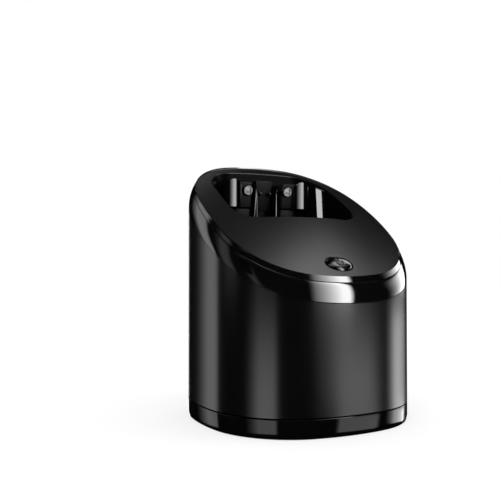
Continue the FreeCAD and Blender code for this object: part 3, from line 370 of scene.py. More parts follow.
class Shader:
    # the nodes of one material, or of the world
    def __init__(self, name, kind="Material"):
        self.owner = (bpy.data.worlds if kind == "World" else bpy.data.materials).new(name)
        self.owner.use_nodes = True
        self.tree = self.owner.node_tree
        self.tree.nodes.clear()
        self.output = self.tree.nodes.new(f"ShaderNodeOutput{kind}")

    def make(self, kind, inputs=None, output=0, **settings):
        node = self.tree.nodes.new(f"ShaderNode{kind}")
        for name, setting in settings.items():
            setattr(node, name, setting)
        for name, item in (inputs or {}).items():
            connect(self.tree, node.inputs[name], item)
        return Value(self.tree, node.outputs[output])

    def place(self):
        return self.make("TexCoord", output="Object")

    def noise(self, where, scale, detail=2.0, roughness=0.5):
        return self.make("TexNoise", {"Vector": where, "Scale": scale, "Detail": detail,
                                      "Roughness": roughness})

    def cells(self, scale):
        return self.make("TexVoronoi", {"Vector": self.place(), "Scale": scale}, feature="F1")

    def blend(self, share, first, second):
        first, second = (item if isinstance(item, Value) else (*item, 1.0) for item in (first, second))
        return self.make("Mix", {0: share, 6: first, 7: second}, output=2, data_type="RGBA")

    def bump(self, height, strength, distance):
        return self.make("Bump", {"Height": height, "Strength": strength, "Distance": distance})

    def show(self, value):
        self.tree.links.new(value.socket, self.output.inputs["Surface"])
        return self.owner

    def surface(self, colour, roughness, normal, **others):
        return self.show(self.make("BsdfPrincipled", {"Base Color": colour, "Roughness": roughness,
                                                      "Normal": normal, **others}))


def table(columns, rows):
    return {name: dict(zip(columns.split(), row)) for name, row in rows.items()}


def moulded(name, look):
    # moulded plastic: fine grain or flow waviness, slow colour and gloss changes
    shader = Shader(name)
    where = shader.place()
    cloud = shader.noise(where, look["cloudScale"], detail=3.0)
    grain = shader.noise(where, look["grainScale"], roughness=0.6)
    colour = shader.blend(cloud, look["dark"], look["light"])
    roughness = cloud * look["glossShift"] + (look["roughness"] - look["glossShift"] / 2)
    normal = shader.bump(grain, look["grain"], look["grainMicrons"] * 1e-6)
    gloss = {"IOR": look.get("ior", plasticIndex), "Specular IOR Level": look.get("specular", plasticShine)}
    return shader.surface(colour, roughness, normal, **gloss)


# one row per plastic: two tones, then what the columns name, with the depth of the grain in micrometres
finishes = table("dark light roughness glossShift cloudScale grainScale grain grainMicrons ior specular", {
    "glossBlack": ((0.0012, 0.0012, 0.0014), (0.0020, 0.0020, 0.0022), 0.045, 0.02, 18, 90, 0.04, 200, 2.2),
    "ringBlack": ((0.0010, 0.0010, 0.0012), (0.0018, 0.0018, 0.0020), 0.06, 0.02, 18, 90, 0.04, 200, 1.65),
    "satinShell": ((0.0012, 0.0012, 0.0016), (0.0018, 0.0018, 0.0022), 0.19, 0.03, 26, 3200, 0.08, 40, 1.95),
    "mattDeck": ((0.0030, 0.0032, 0.0034), (0.0044, 0.0046, 0.0049), 0.28, 0.04, 22, 2600, 0.20, 60, 1.5),
    "blackPlastic": ((0.006, 0.006, 0.0065), (0.01, 0.01, 0.0105), 0.46, 0.06, 40, 2200, 0.25, 60, 1.46,
                     0.25),
    # the recess liner's black is painted shade: gloss black with its reflection turned almost off, so the recess
    # renders darker
    "wellBlack": ((0.001, 0.001, 0.0012), (0.0018, 0.0018, 0.002), 0.3, 0.04, 18, 900, 0.06, 100, 1.46, 0.03),
    "innerPlastic": ((0.035, 0.036, 0.038), (0.055, 0.056, 0.058), 0.48, 0.08, 36, 1800, 0.3, 80),
    "bowlPlastic": ((0.006, 0.006, 0.007), (0.010, 0.010, 0.011), 0.30, 0.06, 30, 1500, 0.12, 60, 1.46, 0.3),
    "rubber": ((0.013, 0.013, 0.013), (0.024, 0.023, 0.023), 0.72, 0.10, 60, 1600, 0.5, 100),
    "hose": ((0.30, 0.31, 0.30), (0.42, 0.43, 0.42), 0.30, 0.05, 90, 900, 0.1, 50),
    "cartridgePlastic": ((0.012, 0.020, 0.032), (0.018, 0.029, 0.045), 0.30, 0.06, 24, 1900, 0.18, 60),
})
plasticIndex = 1.46      # refractive index and share of reflection where a row names none
plasticShine = 0.5


def metal(name, look):
    # turned or drawn metal: fine streaks across one axis, with gloss that follows them
    shader = Shader(name)
    stretched = shader.make("Mapping", {"Vector": shader.place(), "Scale": look["streaks"]})
    streaks = shader.noise(stretched, scale=1.0, detail=4.0, roughness=0.7)
    colour = shader.blend(streaks, look["dark"], look["light"])
    roughness = streaks * look["glossShift"] + look["roughness"]
    normal = shader.bump(streaks, look["grain"], distance=0.00003)
    return shader.surface(colour, roughness, normal, Metallic=1.0)


metals = table("dark light roughness glossShift grain streaks", {
    "steel": ((0.42, 0.42, 0.43), (0.60, 0.60, 0.61), 0.24, 0.12, 0.2, (300.0, 300.0, 4000.0)),
    "polishedScrew": ((0.30, 0.30, 0.30), (0.42, 0.42, 0.42), 0.32, 0.10, 0.2, (2500.0, 300.0, 2500.0)),
    "contactMetal": ((0.10, 0.10, 0.10), (0.16, 0.16, 0.16), 0.28, 0.08, 0.1, (2500.0, 300.0, 2500.0)),
    "darkChrome": ((0.052, 0.052, 0.055), (0.072, 0.072, 0.075), 0.12, 0.06, 0.05, (900.0, 900.0, 900.0)),
})


boardLook = {"tracks": 260.0, "gaps": 0.06, "pads": 420.0, "padCore": 0.16, "padRim": 0.20,
             "roughness": 0.32, "padRoughness": 0.22}


def circuitBoard():
    # solder resist with tracks under it and bare pads along them
    look = boardLook
    shader = Shader("circuitBoard")
    tracks = shader.make("TexBrick", {"Vector": shader.place(), "Scale": look["tracks"],
                                      "Mortar Size": look["gaps"]}, output="Fac", offset=0.5, squash=1.0)
    padMask = shader.make("MapRange", {"Value": shader.cells(look["pads"]), "From Min": look["padRim"],
                                       "From Max": look["padCore"]}, interpolation_type="SMOOTHSTEP")
    board = shader.blend(tracks, (0.010, 0.075, 0.035), (0.020, 0.140, 0.060))
    colour = shader.blend(padMask, board, (0.55, 0.50, 0.38))
    normal = shader.bump(tracks, strength=0.3, distance=0.00004)
    roughness = look["roughness"] + padMask * (look["padRoughness"] - look["roughness"])
    return shader.surface(colour, roughness, normal, Metallic=padMask)


def filterFoam():
    # open foam: pale cells that darken towards their edges, painted shade standing for the pores
    shader = Shader("filterFoam")
    cells = shader.cells(700.0)
    # the darker tone is painted shade for the pores; the same cells drive the bump
    colour = shader.blend(cells, (0.62, 0.64, 0.62), (0.30, 0.33, 0.34))
    normal = shader.bump(cells, strength=0.8, distance=0.0004)
    return shader.surface(colour, 0.9, normal, **{"Sheen Weight": 0.2})


paint = {name: moulded(name, look) for name, look in finishes.items()}
paint.update({name: metal(name, look) for name, look in metals.items()})
paint["circuitBoard"] = circuitBoard()
paint["filterFoam"] = filterFoam()
print("dock: materials made")

# each finish has a slot of its own name, such as gloss_black, but the three gloss blacks share one
slots = {name: "".join(f"_{sign.lower()}" if sign.isupper() else sign for sign in name) for name in paint}
slots["ringBlack"] = slots["wellBlack"] = slots["glossBlack"]


def finish(piece, finishName, body, *nodes):
    # gives a finished piece its material and its body, and hides the CAD nodes that it stands for
    piece.data.materials.clear()
    piece.data.materials.append(paint[finishName])
    if body:
        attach(piece, body)
    if nodes:
        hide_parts(*nodes)
    return piece


# Base ring: inverted tray with a chamfered foot and a fine lip under the seam
baseRing = {"bottom": 0.0002, "top": 0.0105, "chamfer": 0.0007, "rise": 0.0030, "wall": 0.003,
            "plate": 0.0022, "lip": 0.0002}


def makeBaseRing():
    bm = bmesh.new()
    look = baseRing
    profile = [
        (look["wall"], look["top"] - look["plate"]), (look["wall"], look["bottom"]),
        (look["chamfer"], look["bottom"]), (0.0, look["bottom"] + look["rise"]), (0.0, look["top"]),
    ]
    stack(bm, [planRing(bm, inset, height) for inset, height in profile])
    ring = makeObject(bm, "base_ring")
    finish(ring, "ringBlack", "base", "base_tray")
    soften(ring, look["lip"], angle=25)


# Satin shell: oval wall with a sloping top edge, cut at the back for the door and two rounded holes
shell = {"bottom": 0.0113, "wall": 0.0024, "edge": 0.00025, "doorGap": 0.001, "doorLow": -0.02,
         "behind": 0.08}
shellHoles = table("gap rounding", {"lift_button": (0.0004, 0.0052), "power_socket": (0.0002, 0.0018)})


def makeShell():
    bm = bmesh.new()
    look = shell
    rings = [planRing(bm, 0.0, look["bottom"]), planRing(bm, 0.0, *layers["shell"]),
             planRing(bm, look["wall"], *layers["shell"]), planRing(bm, look["wall"], look["bottom"])]
    bridge(bm, *rings, rings[0])
    wall = makeObject(bm, "housing_shell")
    tankLow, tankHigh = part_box("cartridge_tank")
    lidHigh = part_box("cartridge_lid")[1]
    gap = look["doorGap"]
    carve(wall, block("door", (tankLow.x - gap, 0, look["doorLow"]),
                      (tankHigh.x + gap, look["behind"], lidHigh.z + gap)))
    for node, hole in shellHoles.items():
        low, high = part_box(node)
        gap, rounding = hole["gap"], hole["rounding"]
        bm = bmesh.new()
        ring = roundedRing(bm, low.x - gap, high.x + gap, low.z - gap, high.z + gap, rounding, rounding)
        move(bm, toFront)
        made = bmesh.ops.extrude_edge_only(bm, edges=ring)["geom"]
        far = [edge for edge in only(BMEdge, made) if len(edge.link_faces) == 1]
        bmesh.ops.translate(bm, vec=(0, look["behind"], 0), verts=vertsOf(far))
        lid(bm, ring)
        lid(bm, far)
        carve(wall, makeObject(bm, "hole"))
    finish(wall, "satinShell", "housing", "body_shell")
    soften(wall, look["edge"], segments=2, angle=40)


# Glossy band with its leaning shoulder, and the thin rim above it
band = {"seam": 0.00022, "lean": 2.1, "steps": 12, "edge": 0.0001, "lip": 0.0002, "ledge": 0.0009}
rim = {"seam": 0.00022, "lean": 1.3, "steps": 8, "edge": 0.0001}


def makeBand():
    bm = bmesh.new()
    look = band
    lift = {0.0: look["seam"], 1.0: -look["seam"]}
    profile = [planRing(bm, layers["bandInset"] * share ** look["lean"], *between("shell", "band", share),
                        lift.get(share, 0.0)) for share in shares(look["steps"])]
    # behind its thin top lip the band drops, so that the seam under the rim stays dark
    lipInset = layers["bandInset"] + look["lip"]
    inner = layers["innerInset"]
    top = [planRing(bm, lipInset, *layers["band"], -look["seam"]),
           planRing(bm, lipInset + look["lip"], *layers["band"], -look["ledge"]),
           planRing(bm, inner, *layers["band"], -look["ledge"])]
    bottom = planRing(bm, inner, *layers["shell"], look["seam"])
    bridge(bm, bottom, *profile, *top, bottom)
    piece = makeObject(bm, "gloss_band")
    finish(piece, "glossBlack", "housing", "trim_band")
    soften(piece, look["edge"], angle=40)


def makeRim():
    bm = bmesh.new()
    look = rim
    rings = []
    for share in shares(look["steps"]):
        inset = layers["bandInset"] + (layers["rimInset"] - layers["bandInset"]) * share ** look["lean"]
        rings.append(planRing(bm, inset, *between("band", "deck", share), 0.0 if share else look["seam"]))
    onCrown(rings[-1])
    top = onCrown(planRing(bm, layers["topInset"]))
    bottom = planRing(bm, layers["topInset"], *layers["band"], look["seam"])
    bridge(bm, bottom, *rings, top, bottom)
    piece = makeObject(bm, "gloss_rim")
    finish(piece, "glossBlack", "housing", "top_rim")
    soften(piece, look["edge"])


# Crowned deck with the opening of the recess and the hole of the start button
recess = {
    "left": -0.0445, "right": 0.0445, "front": -0.0087, "rear": 0.048, "frontRadius": 0.014,
    "rearRadius": 0.022, "wall": 0.002, "floor": 0.106, "bowlTop": 0.104, "fillet": 0.004, "edge": 0.0006,
    "spokes": 10, "lip": 0.0009, "lipSink": 0.0003, "lipEdge": 0.00025, "mouthIn": 0.001,
}


def pocketRing(bm, look, grow=0.0, height=0.0, narrow=0.0):
    return roundedRing(bm, look["left"] - grow + narrow, look["right"] + grow - narrow, look["front"] - grow,
                       look["rear"] + grow, look["frontRadius"] + grow, look["rearRadius"] + grow, height)


# the hole is a row of (wider, height) pairs from below upwards, with a chamfer round its upper edge
startSwitch = {"distance": 0.057, "width": 0.0165, "length": 0.012, "gap": 0.0004, "edge": -0.0008,
               "crown": 0.0020, "inner": 80.0, "steps": 12, "skirt": -0.0042, "bevel": 0.00008,
               "hole": ((0.0, -0.01), (0.0, -0.0005), (0.0009, 0.0004), (0.0009, 0.01))}
startTurn = math.asin(startSwitch["distance"] / layers["crownRadius"])
startFrame = (Matrix.Translation(crownCentre) @ Matrix.Rotation(deckTilt + startTurn, 4, "X")
              @ Matrix.Translation((0, 0, layers["crownRadius"])))


def ellipseRing(bm, grow, height, share=1.0, segments=96):
    look = startSwitch
    made = bmesh.ops.create_circle(bm, cap_ends=False, segments=segments, radius=1.0)["verts"]
    size = Matrix.Diagonal((look["width"] / 2 * share + grow, look["length"] / 2 * share + grow, 1, 1))
    move(bm, Matrix.Translation((0, 0, height)) @ size, made)
    return edgesAmong(bm, made)


def makeDeck():
    bm = bmesh.new()
    look = recess
    outer = planRing(bm, layers["topInset"] + layers["fitGap"])
    opening = pocketRing(bm, look, narrow=look["mouthIn"])
    bridge(bm, outer, opening)
    ends = set(outer) | set(opening)
    spokes = [edge for edge in bm.edges if edge not in ends]
    bmesh.ops.subdivide_edges(bm, edges=spokes, cuts=look["spokes"], use_grid_fill=True)
    onCrown(list(bm.edges))
    under = bmesh.ops.extrude_face_region(bm, geom=list(bm.faces))["geom"]
    onCrown(only(BMEdge, under), layers["deckThickness"])
    deck = makeObject(bm, "deck")
    bm = bmesh.new()
    stack(bm, [ellipseRing(bm, startSwitch["gap"] + wider, height) for wider, height in startSwitch["hole"]])
    move(bm, startFrame)
    carve(deck, makeObject(bm, "button_hole"))
    finish(deck, "mattDeck", "housing", "deck_panel")
    soften(deck, look["edge"], angle=50)


# Recess liner with a thin lip in the opening; the mouth is a little narrower than the pocket below it
def makeLiner():
    bm = bmesh.new()
    look = recess
    wall, floor, lip, gap = look["wall"], look["floor"], look["lip"], layers["fitGap"]
    skin = layers["deckThickness"] + layers["deckUnderGap"]
    rings = [onCrown(pocketRing(bm, look, wall), skin)]
    for inset, depth in ((gap, skin), (gap, look["lipSink"]), (lip, look["lipSink"])):
        rings.append(onCrown(pocketRing(bm, look, -inset, narrow=look["mouthIn"]), depth))
    for inwards, upwards in fillet(look["fillet"]):
        rings.append(pocketRing(bm, look, -lip - inwards, floor + upwards))
    rings += [pocketRing(bm, bowl, 0.0, floor), pocketRing(bm, bowl, 0.0, look["bowlTop"]),
              pocketRing(bm, look, wall, look["bowlTop"])]
    bridge(bm, *rings, rings[0])
    liner = makeObject(bm, "recess_wall")
    # painted shade: the liner takes the gloss black copy whose reflection is almost off
    finish(liner, "wellBlack", "housing", "recess_liner")
    soften(liner, look["lipEdge"], segments=2, angle=40)


# a rib in each rear corner, with a slightly crowned face, that runs outwards as it goes down
cornerRib = {"middle": (0.0402, 0.0339), "turn": 42.5, "wide": 0.0096, "thick": 0.007, "top": 0.1445,
             "topSink": 0.0012, "floorSink": 0.0005, "crown": 0.00012, "splay": 0.06, "steps": 10,
             "edge": 0.0005}


def makeCornerRibs():
    look = cornerRib
    bottom = recess["floor"] - look["floorSink"]
    half = look["wide"] / 2
    for side, hand in handed.items():
        bm = bmesh.new()
        outline = walk(bm, (-half, look["thick"], bottom), [
            ((0, -look["thick"], 0), 2),
            ((2 * half, 0, 0), look["steps"]),
            ((0, look["thick"], 0), 2),
            ((-2 * half, 0, 0), 2),
        ])
        for vert in vertsOf(outline):
            if abs(vert.co.y) < tiny:
                vert.co.y -= look["crown"] * math.cos(math.pi / 2 * vert.co.x / half)
        upper = raised(bm, outline, look["top"] - bottom)
        turn = Matrix.Rotation(math.radians(-look["turn"]), 4, "Z")
        splay = shear(0, 2, -look["splay"], look["top"])
        turned = Matrix.Translation((*look["middle"], 0)) @ turn
        move(bm, Matrix.Diagonal((hand, 1, 1, 1)) @ splay @ turned)
        onCrown(edgesAmong(bm, upper), look["topSink"])
        rib = makeObject(bm, f"recess_rib_{side}")
        finish(rib, "glossBlack", "housing")
        soften(rib, look["edge"])


# two thin blades that part downwards, between the post and each rest
wiper = {"apex": (0.0074, 0.1440), "feet": (0.0070, 0.0103), "foot": 0.112, "face": 0.0385, "wide": 0.0006,
         "back": 0.0482, "edge": 0.0002}


def makeWipers():
    look = wiper
    apex, top = look["apex"]
    tall = top - look["foot"]
    middle = (apex, (look["back"] + look["face"]) / 2, (top + look["foot"]) / 2)
    for side, hand in handed.items():
        bm = bmesh.new()
        for foot in look["feet"]:
            made = bmesh.ops.create_cube(bm, size=1)["verts"]
            size = Matrix.Diagonal((look["wide"], look["back"] - look["face"], tall, 1))
            move(bm, shear(0, 2, (apex - foot) / tall, top) @ Matrix.Translation(middle) @ size, made)
        move(bm, Matrix.Diagonal((hand, 1, 1, 1)))
        blades = makeObject(bm, f"recess_blades_{side}")
        finish(blades, "ringBlack", "housing")
        soften(blades, look["edge"], segments=2)


# Rinse bowl under the recess, with a drain spout
bowl = {"left": -0.033, "right": 0.033, "front": -0.004, "rear": 0.036, "frontRadius": 0.012,
        "rearRadius": 0.012, "wall": 0.002, "bottom": 0.084, "fillet": 0.007, "drain": (0.016, 0.010),
        "drainRadius": 0.002, "drainCut": 0.06, "spoutRadius": 0.004, "edge": 0.0003}


def makeBowl():
    bm = bmesh.new()
    look = bowl
    rims = []
    for bottom, start in ((look["bottom"], look["wall"]), (look["bottom"] + look["wall"], 0.0)):
        side = [pocketRing(bm, look, start, recess["bowlTop"])]
        for inwards, upwards in fillet(look["fillet"]):
            side.append(pocketRing(bm, look, start - inwards, bottom + upwards))
        bridge(bm, *side)
        lid(bm, side[-1])
        rims.append(side[0])
    bridge(bm, *rims)
    vessel = makeObject(bm, "rinse_bowl")
    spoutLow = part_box("wash_bowl")[0].z
    spoutTop = look["bottom"] + look["wall"] / 2
    middle = (*look["drain"], (spoutLow + spoutTop) / 2)
    carve(vessel, drum("spout", middle, look["spoutRadius"], spoutTop - spoutLow), "UNION")
    carve(vessel, drum("drain", (*look["drain"], spoutLow), look["drainRadius"], look["drainCut"]))
    finish(vessel, "bowlPlastic", "housing", "wash_bowl")
    soften(vessel, look["edge"], segments=2, angle=40)


makeBaseRing()
makeShell()
makeBand()
makeRim()
makeDeck()
makeLiner()
makeCornerRibs()
makeWipers()
makeBowl()
print("dock: shells made")


# Start button: a crowned cap with a mark, an open ring and a bar, both a little proud of the crown
startMark = {"radius": 0.0022, "wire": 0.0004, "open": 50.0, "rise": -0.0001, "barLow": 0.0008,
             "barHigh": 0.0030, "sides": 10, "steps": 36, "edge": 0.0001}


def makeStartButton():
    look = startSwitch
    bm = bmesh.new()
    rings = [ellipseRing(bm, 0.0, look["skirt"])]
    for share in shares(look["steps"]):       # one smooth crown from edge to middle
        turn = math.radians(look["inner"] * share)
        rings.append(ellipseRing(bm, 0.0, look["edge"] + look["crown"] * math.sin(turn), math.cos(turn)))
    stack(bm, rings)
    move(bm, startFrame)
    cap = makeObject(bm, "start_cap")
    finish(cap, "darkChrome", "start_button", "start_button")
    soften(cap, look["bevel"], segments=2, angle=50)
    mark = startMark
    level = look["edge"] + look["crown"] + mark["rise"]
    bm = bmesh.new()
    wire = wireEnd(bm, mark["wire"], mark["sides"], (mark["radius"], 0, 0), filled=True)
    move(bm, Matrix.Rotation(math.radians(90 + mark["open"]), 4, "Z"), wire)
    bmesh.ops.spin(bm, geom=list(bm.faces), cent=(0, 0, 0), axis=(0, 0, 1),
                   angle=math.radians(360 - 2 * mark["open"]), steps=mark["steps"])
    bar = cylinder(bm, mark["wire"], mark["barHigh"] - mark["barLow"], mark["sides"])
    middle = Matrix.Translation((0, (mark["barLow"] + mark["barHigh"]) / 2, 0))
    move(bm, middle @ toFront, bar)
    move(bm, startFrame @ Matrix.Translation((0, 0, level)))
    sign = makeObject(bm, "start_mark")
    finish(sign, "ringBlack", "start_button")
    soften(sign, mark["edge"], segments=2, angle=50)


makeStartButton()
print("dock: start button made")


# CAD pieces that keep their shape: merged, with edges broken by this width
keptPieces = {
    "base_cover": ("blackPlastic", 0.0003), "latch_catch": ("steel", 0.0002),
    "inner_frame": ("innerPlastic", 0.0003), "start_switch": ("blackPlastic", 0.0002),
    "button_board": ("circuitBoard", 0.0001), "drain_seal": ("rubber", 0.0003),
    "feed_seal": ("rubber", 0.0003), "pump_housing": ("innerPlastic", 0.0003),
    "pump_cover": ("innerPlastic", 0.0003), "pump_motor": ("steel", 0.0005), "suction_tube": ("hose", 0.0),
    "supply_tube": ("hose", 0.0), "fan_housing": ("blackPlastic", 0.0004),
    "main_board": ("circuitBoard", 0.0001), "power_socket": ("blackPlastic", 0.0004),
    "cartridge_tank": ("cartridgePlastic", 0.0008), "cartridge_lid": ("cartridgePlastic", 0.0005),
    "cartridge_filter": ("filterFoam", 0.0), "latch_slider": ("steel", 0.0002),
    "pump_rotor": ("blackPlastic", 0.0002), "fan_rotor": ("blackPlastic", 0.0002),
}
for side in ("left", "right"):
    keptPieces.update({
        f"guide_post_{side}": ("steel", 0.0003),
        f"guide_sleeve_{side}": ("innerPlastic", 0.0003),
        f"socket_pin_{side}": ("contactMetal", 0.0002),
    })
flatTurn = 0.4           # degrees; faces that meet at less are one face


def spanOf(node):
    low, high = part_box(node)
    return low, high, (low + high) / 2


def bodyOf(node):
    groups = frame["record"]["behaviour"]["bodies"]
    return next(body for body, members in groups.items() if node in members)


def copyNode(node):
    bm = bmesh.new()
    bm.from_mesh(frame["nodes"][node].data)
    bmesh.ops.remove_doubles(bm, verts=bm.verts, dist=tiny)
    bmesh.ops.dissolve_limit(bm, angle_limit=math.radians(flatTurn), verts=bm.verts, edges=bm.edges)
    return makeObject(bm, f"{node}_piece")


def dressNode(node, finishName, edge):
    piece = copyNode(node)
    finish(piece, finishName, bodyOf(node), node)
    if edge:
        soften(piece, edge, angle=35)
    else:
        crease(piece)


# Lift button: the CAD key with an arrow and three grip grooves pressed into its face
liftKey = {"edge": 0.00035, "wide": 0.015, "tall": 0.0009, "deep": 0.0016, "grooves": 3, "start": 0.0028,
           "pitch": 0.0018, "grooveRound": 0.0003, "arrow": 0.0032, "arrowTop": 0.0030, "slope": 0.75}


def makeLiftButton():
    look = liftKey
    key = copyNode("lift_button")
    keyLow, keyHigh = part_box("lift_button")
    inside, outside = keyHigh.y - look["deep"], keyHigh.y + farPast
    for index in range(look["grooves"]):
        level = keyLow.z + look["start"] + look["pitch"] * index
        low, high = level - look["tall"] / 2, level + look["tall"] / 2
        carve(key, block("groove", (-look["wide"] / 2, inside, low), (look["wide"] / 2, outside, high),
                         look["grooveRound"], segments=2))
    tip = keyHigh.z - look["arrowTop"]
    for hand in handed.values():
        arm = block("arrow_arm", (0, inside, tip - look["tall"]), (look["arrow"], outside, tip))
        arm.data.transform(shear(2, 0, -look["slope"]))
        carve(key, mirrored(arm, hand))
    finish(key, "satinShell", bodyOf("lift_button"), "lift_button")
    soften(key, look["edge"], angle=40)


# Coil springs, closed at both ends, standing between the base and the housing
coil = {"wire": 0.00040, "turns": 9, "steps": 28, "sides": 10, "restTurns": 1.0, "restPitch": 2.2}


def makeSpring(side):
    look = coil
    wire = look["wire"]
    low, high, centre = spanOf(f"lift_spring_{side}")
    middleX = centre.x
    bm = bmesh.new()
    wireEnd(bm, wire, look["sides"], ((high.x - low.x) / 2 - wire, 0, wire))
    first = last = list(bm.edges)
    rise = high.z - low.z - 2 * wire
    rest = look["restPitch"] * wire
    closed = (look["restTurns"], rest)
    for turns, climb in (closed, (look["turns"], rise - 2 * rest), closed):
        steps = round(look["steps"] * turns)
        made = bmesh.ops.spin(bm, geom=last, cent=(0, 0, 0), axis=(0, 0, 1), angle=2 * math.pi * turns,
                              steps=steps, dvec=(0, 0, climb / steps))
        last = only(BMEdge, made["geom_last"])
    lid(bm, first)
    lid(bm, last)
    bmesh.ops.translate(bm, verts=bm.verts, vec=(middleX, 0, low.z))
    spring = makeObject(bm, f"lift_coil_{side}")
    finish(spring, "steel", None, f"lift_spring_{side}")
    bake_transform(spring)


# Rubber feet with a ring groove in the tread, and cross-head screws
foot = {"groove": 0.0005, "grooveDeep": 0.0003, "grooveIn": 0.0012}
screwHead = {"cross": 0.0026, "slot": 0.0006, "deep": 0.0006, "edge": 0.0002}


def makeFoot(name):
    look = foot
    pad = copyNode(f"rubber_foot_{name}")
    low, high, centre = spanOf(f"rubber_foot_{name}")
    outside = (high.x - low.x) / 2 - look["grooveIn"]
    inside, deep = outside - look["groove"], look["grooveDeep"]
    profile = [(outside, -past), (outside, deep), (inside, deep), (inside, -past), (outside, -past)]
    carve(pad, lathe("tread", profile, (centre.x, centre.y, low.z)))
    finish(pad, "rubber", "base", f"rubber_foot_{name}")
    crease(pad)


def makeScrew(node):
    look = screwHead
    screw = copyNode(node)
    low, high, centre = spanOf(node)
    for wide, deep in ((look["cross"], look["slot"]), (look["slot"], look["cross"])):
        carve(screw, block("cross", (centre.x - wide / 2, centre.y - deep / 2, low.z - past),
                           (centre.x + wide / 2, centre.y + deep / 2, low.z + look["deep"])))
    finish(screw, "steel", bodyOf(node), node)
    soften(screw, look["edge"], segments=2, angle=40)


for node, (finishName, edge) in keptPieces.items():
    dressNode(node, finishName, edge)
makeLiftButton()
for side in ("left", "right"):
    makeSpring(side)
    for end in ("front", "rear"):
        makeFoot(f"{end}_{side}")
        makeScrew(f"base_screw_{end}_{side}")
        makeScrew(f"frame_screw_{end}_{side}")
print("dock: inner pieces dressed")


# Fittings in the recess; their faces lean down a little, square to the sloping deck
fittings = {"lean": 13.0, "restLean": 9.0, "pivot": 0.139, "edge": 0.0006,
            "stepGap": 0.0008, "stepTall": 0.010, "stepBack": 0.0006,
            "towerSide": 0.0012, "towerSink": 0.0022,
            "pinShort": 0.0025, "pinGap": 0.0002, "pinHole": 0.008}
# the bolt's profile is a row of (share of radius, share of depth) pairs from its back to its face
restBolt = {"radius": 0.0036, "seatGap": 0.0004, "seatDeep": 0.0012,
            "profile": ((0.0, 0.0), (0.8, 0.0), (1.0, 0.3), (1.0, 0.75), (0.93, 0.93), (0.8, 1.0),
                        (0.62, 1.0), (0.58, 0.93), (0.3, 0.93), (0.0, 0.95)),
            "holes": 3, "holeCircle": 0.0011, "holeRadius": 0.00045, "holeDeep": 0.0012}


def fitIn(piece, lean, sharp, finishName, body, *nodes):
    # shears a mesh so that its front face looks down by the lean, and keeps edges sharp above an angle
    piece.data.transform(shear(1, 2, -math.tan(math.radians(fittings[lean])), fittings["pivot"]))
    finish(piece, finishName, body, *nodes)
    if sharp:
        crease(piece, sharp)


def makeTower():
    look = fittings
    low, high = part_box("contact_tower")
    front = low.y + look["towerSink"]
    tower = block("contact_post", (low.x + look["towerSide"], front, low.z),
                  (high.x - look["towerSide"], high.y, high.z), look["edge"])
    for side in ("left", "right"):
        pinLow, pinHigh, centre = spanOf(f"contact_pin_{side}")
        radius = (pinHigh.x - pinLow.x) / 2 + look["pinGap"]
        place = (centre.x, front, centre.z)
        carve(tower, drum("pin_hole", place, radius, look["pinHole"], "front", segments=32))
    fitIn(tower, "lean", 40, "blackPlastic", "housing", "contact_tower")


def makePin(side):
    low, high, centre = spanOf(f"contact_pin_{side}")
    radius = (high.x - low.x) / 2
    # shorter at the back, clear of the liner when pressed
    reach = high.y - fittings["pinShort"] - low.y
    profile = [(0.0, 0.0), (radius, 0.0), (radius, reach - radius)]
    profile += [(radius * math.cos(turn), reach - radius + radius * math.sin(turn))
                for turn in (math.pi / 2 * share for share in shares(6)[1:-1])] + [(0.0, reach)]
    pin = lathe(f"contact_tip_{side}", profile, (centre.x, low.y + reach, centre.z), "front", steps=32)
    fitIn(pin, "lean", None, "contactMetal", f"contact_pin_{side}", f"contact_pin_{side}")


def makeRest(side):
    look, bolt = fittings, restBolt
    low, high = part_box(f"rest_block_{side}")
    rest = block(f"rest_pad_{side}", low, high, look["edge"])
    boltLow, boltHigh, centre = spanOf(f"rest_screw_{side}")
    carve(rest, drum("screw_seat", (centre.x, low.y, centre.z), bolt["radius"] + bolt["seatGap"],
                     bolt["seatDeep"], "front"))
    fitIn(rest, "restLean", 40, "blackPlastic", "housing", f"rest_block_{side}")
    # lower step of the rest, a little further back
    stepTop = low.z - look["stepGap"]
    step = block(f"rest_step_{side}", (low.x, low.y + look["stepBack"], stepTop - look["stepTall"]),
                 (high.x, high.y, stepTop), look["edge"])
    fitIn(step, "restLean", 40, "blackPlastic", "housing")
    front, back = boltLow.y, boltHigh.y
    profile = [(bolt["radius"] * wide, (back - front) * deep) for wide, deep in bolt["profile"]]
    screw = lathe(f"rest_bolt_{side}", profile, (centre.x, back, centre.z), "front", steps=48)
    for index in range(bolt["holes"]):
        turn = math.pi / 2 + 2 * math.pi * index / bolt["holes"]
        place = (centre.x + bolt["holeCircle"] * math.cos(turn), front,
                 centre.z + bolt["holeCircle"] * math.sin(turn))
        carve(screw, drum("driver_hole", place, bolt["holeRadius"], bolt["holeDeep"], "front", segments=16))
    fitIn(screw, "restLean", 35, "polishedScrew", "housing", f"rest_screw_{side}")


# Upright guide with a softly crowned front and a round top
fin = {"flange": 0.0196, "flangeBack": 0.0377, "apex": 0.0262, "depth": 0.0014, "hold": 0.0002, "steps": 14,
       "arch": 0.03, "edge": 0.0004}


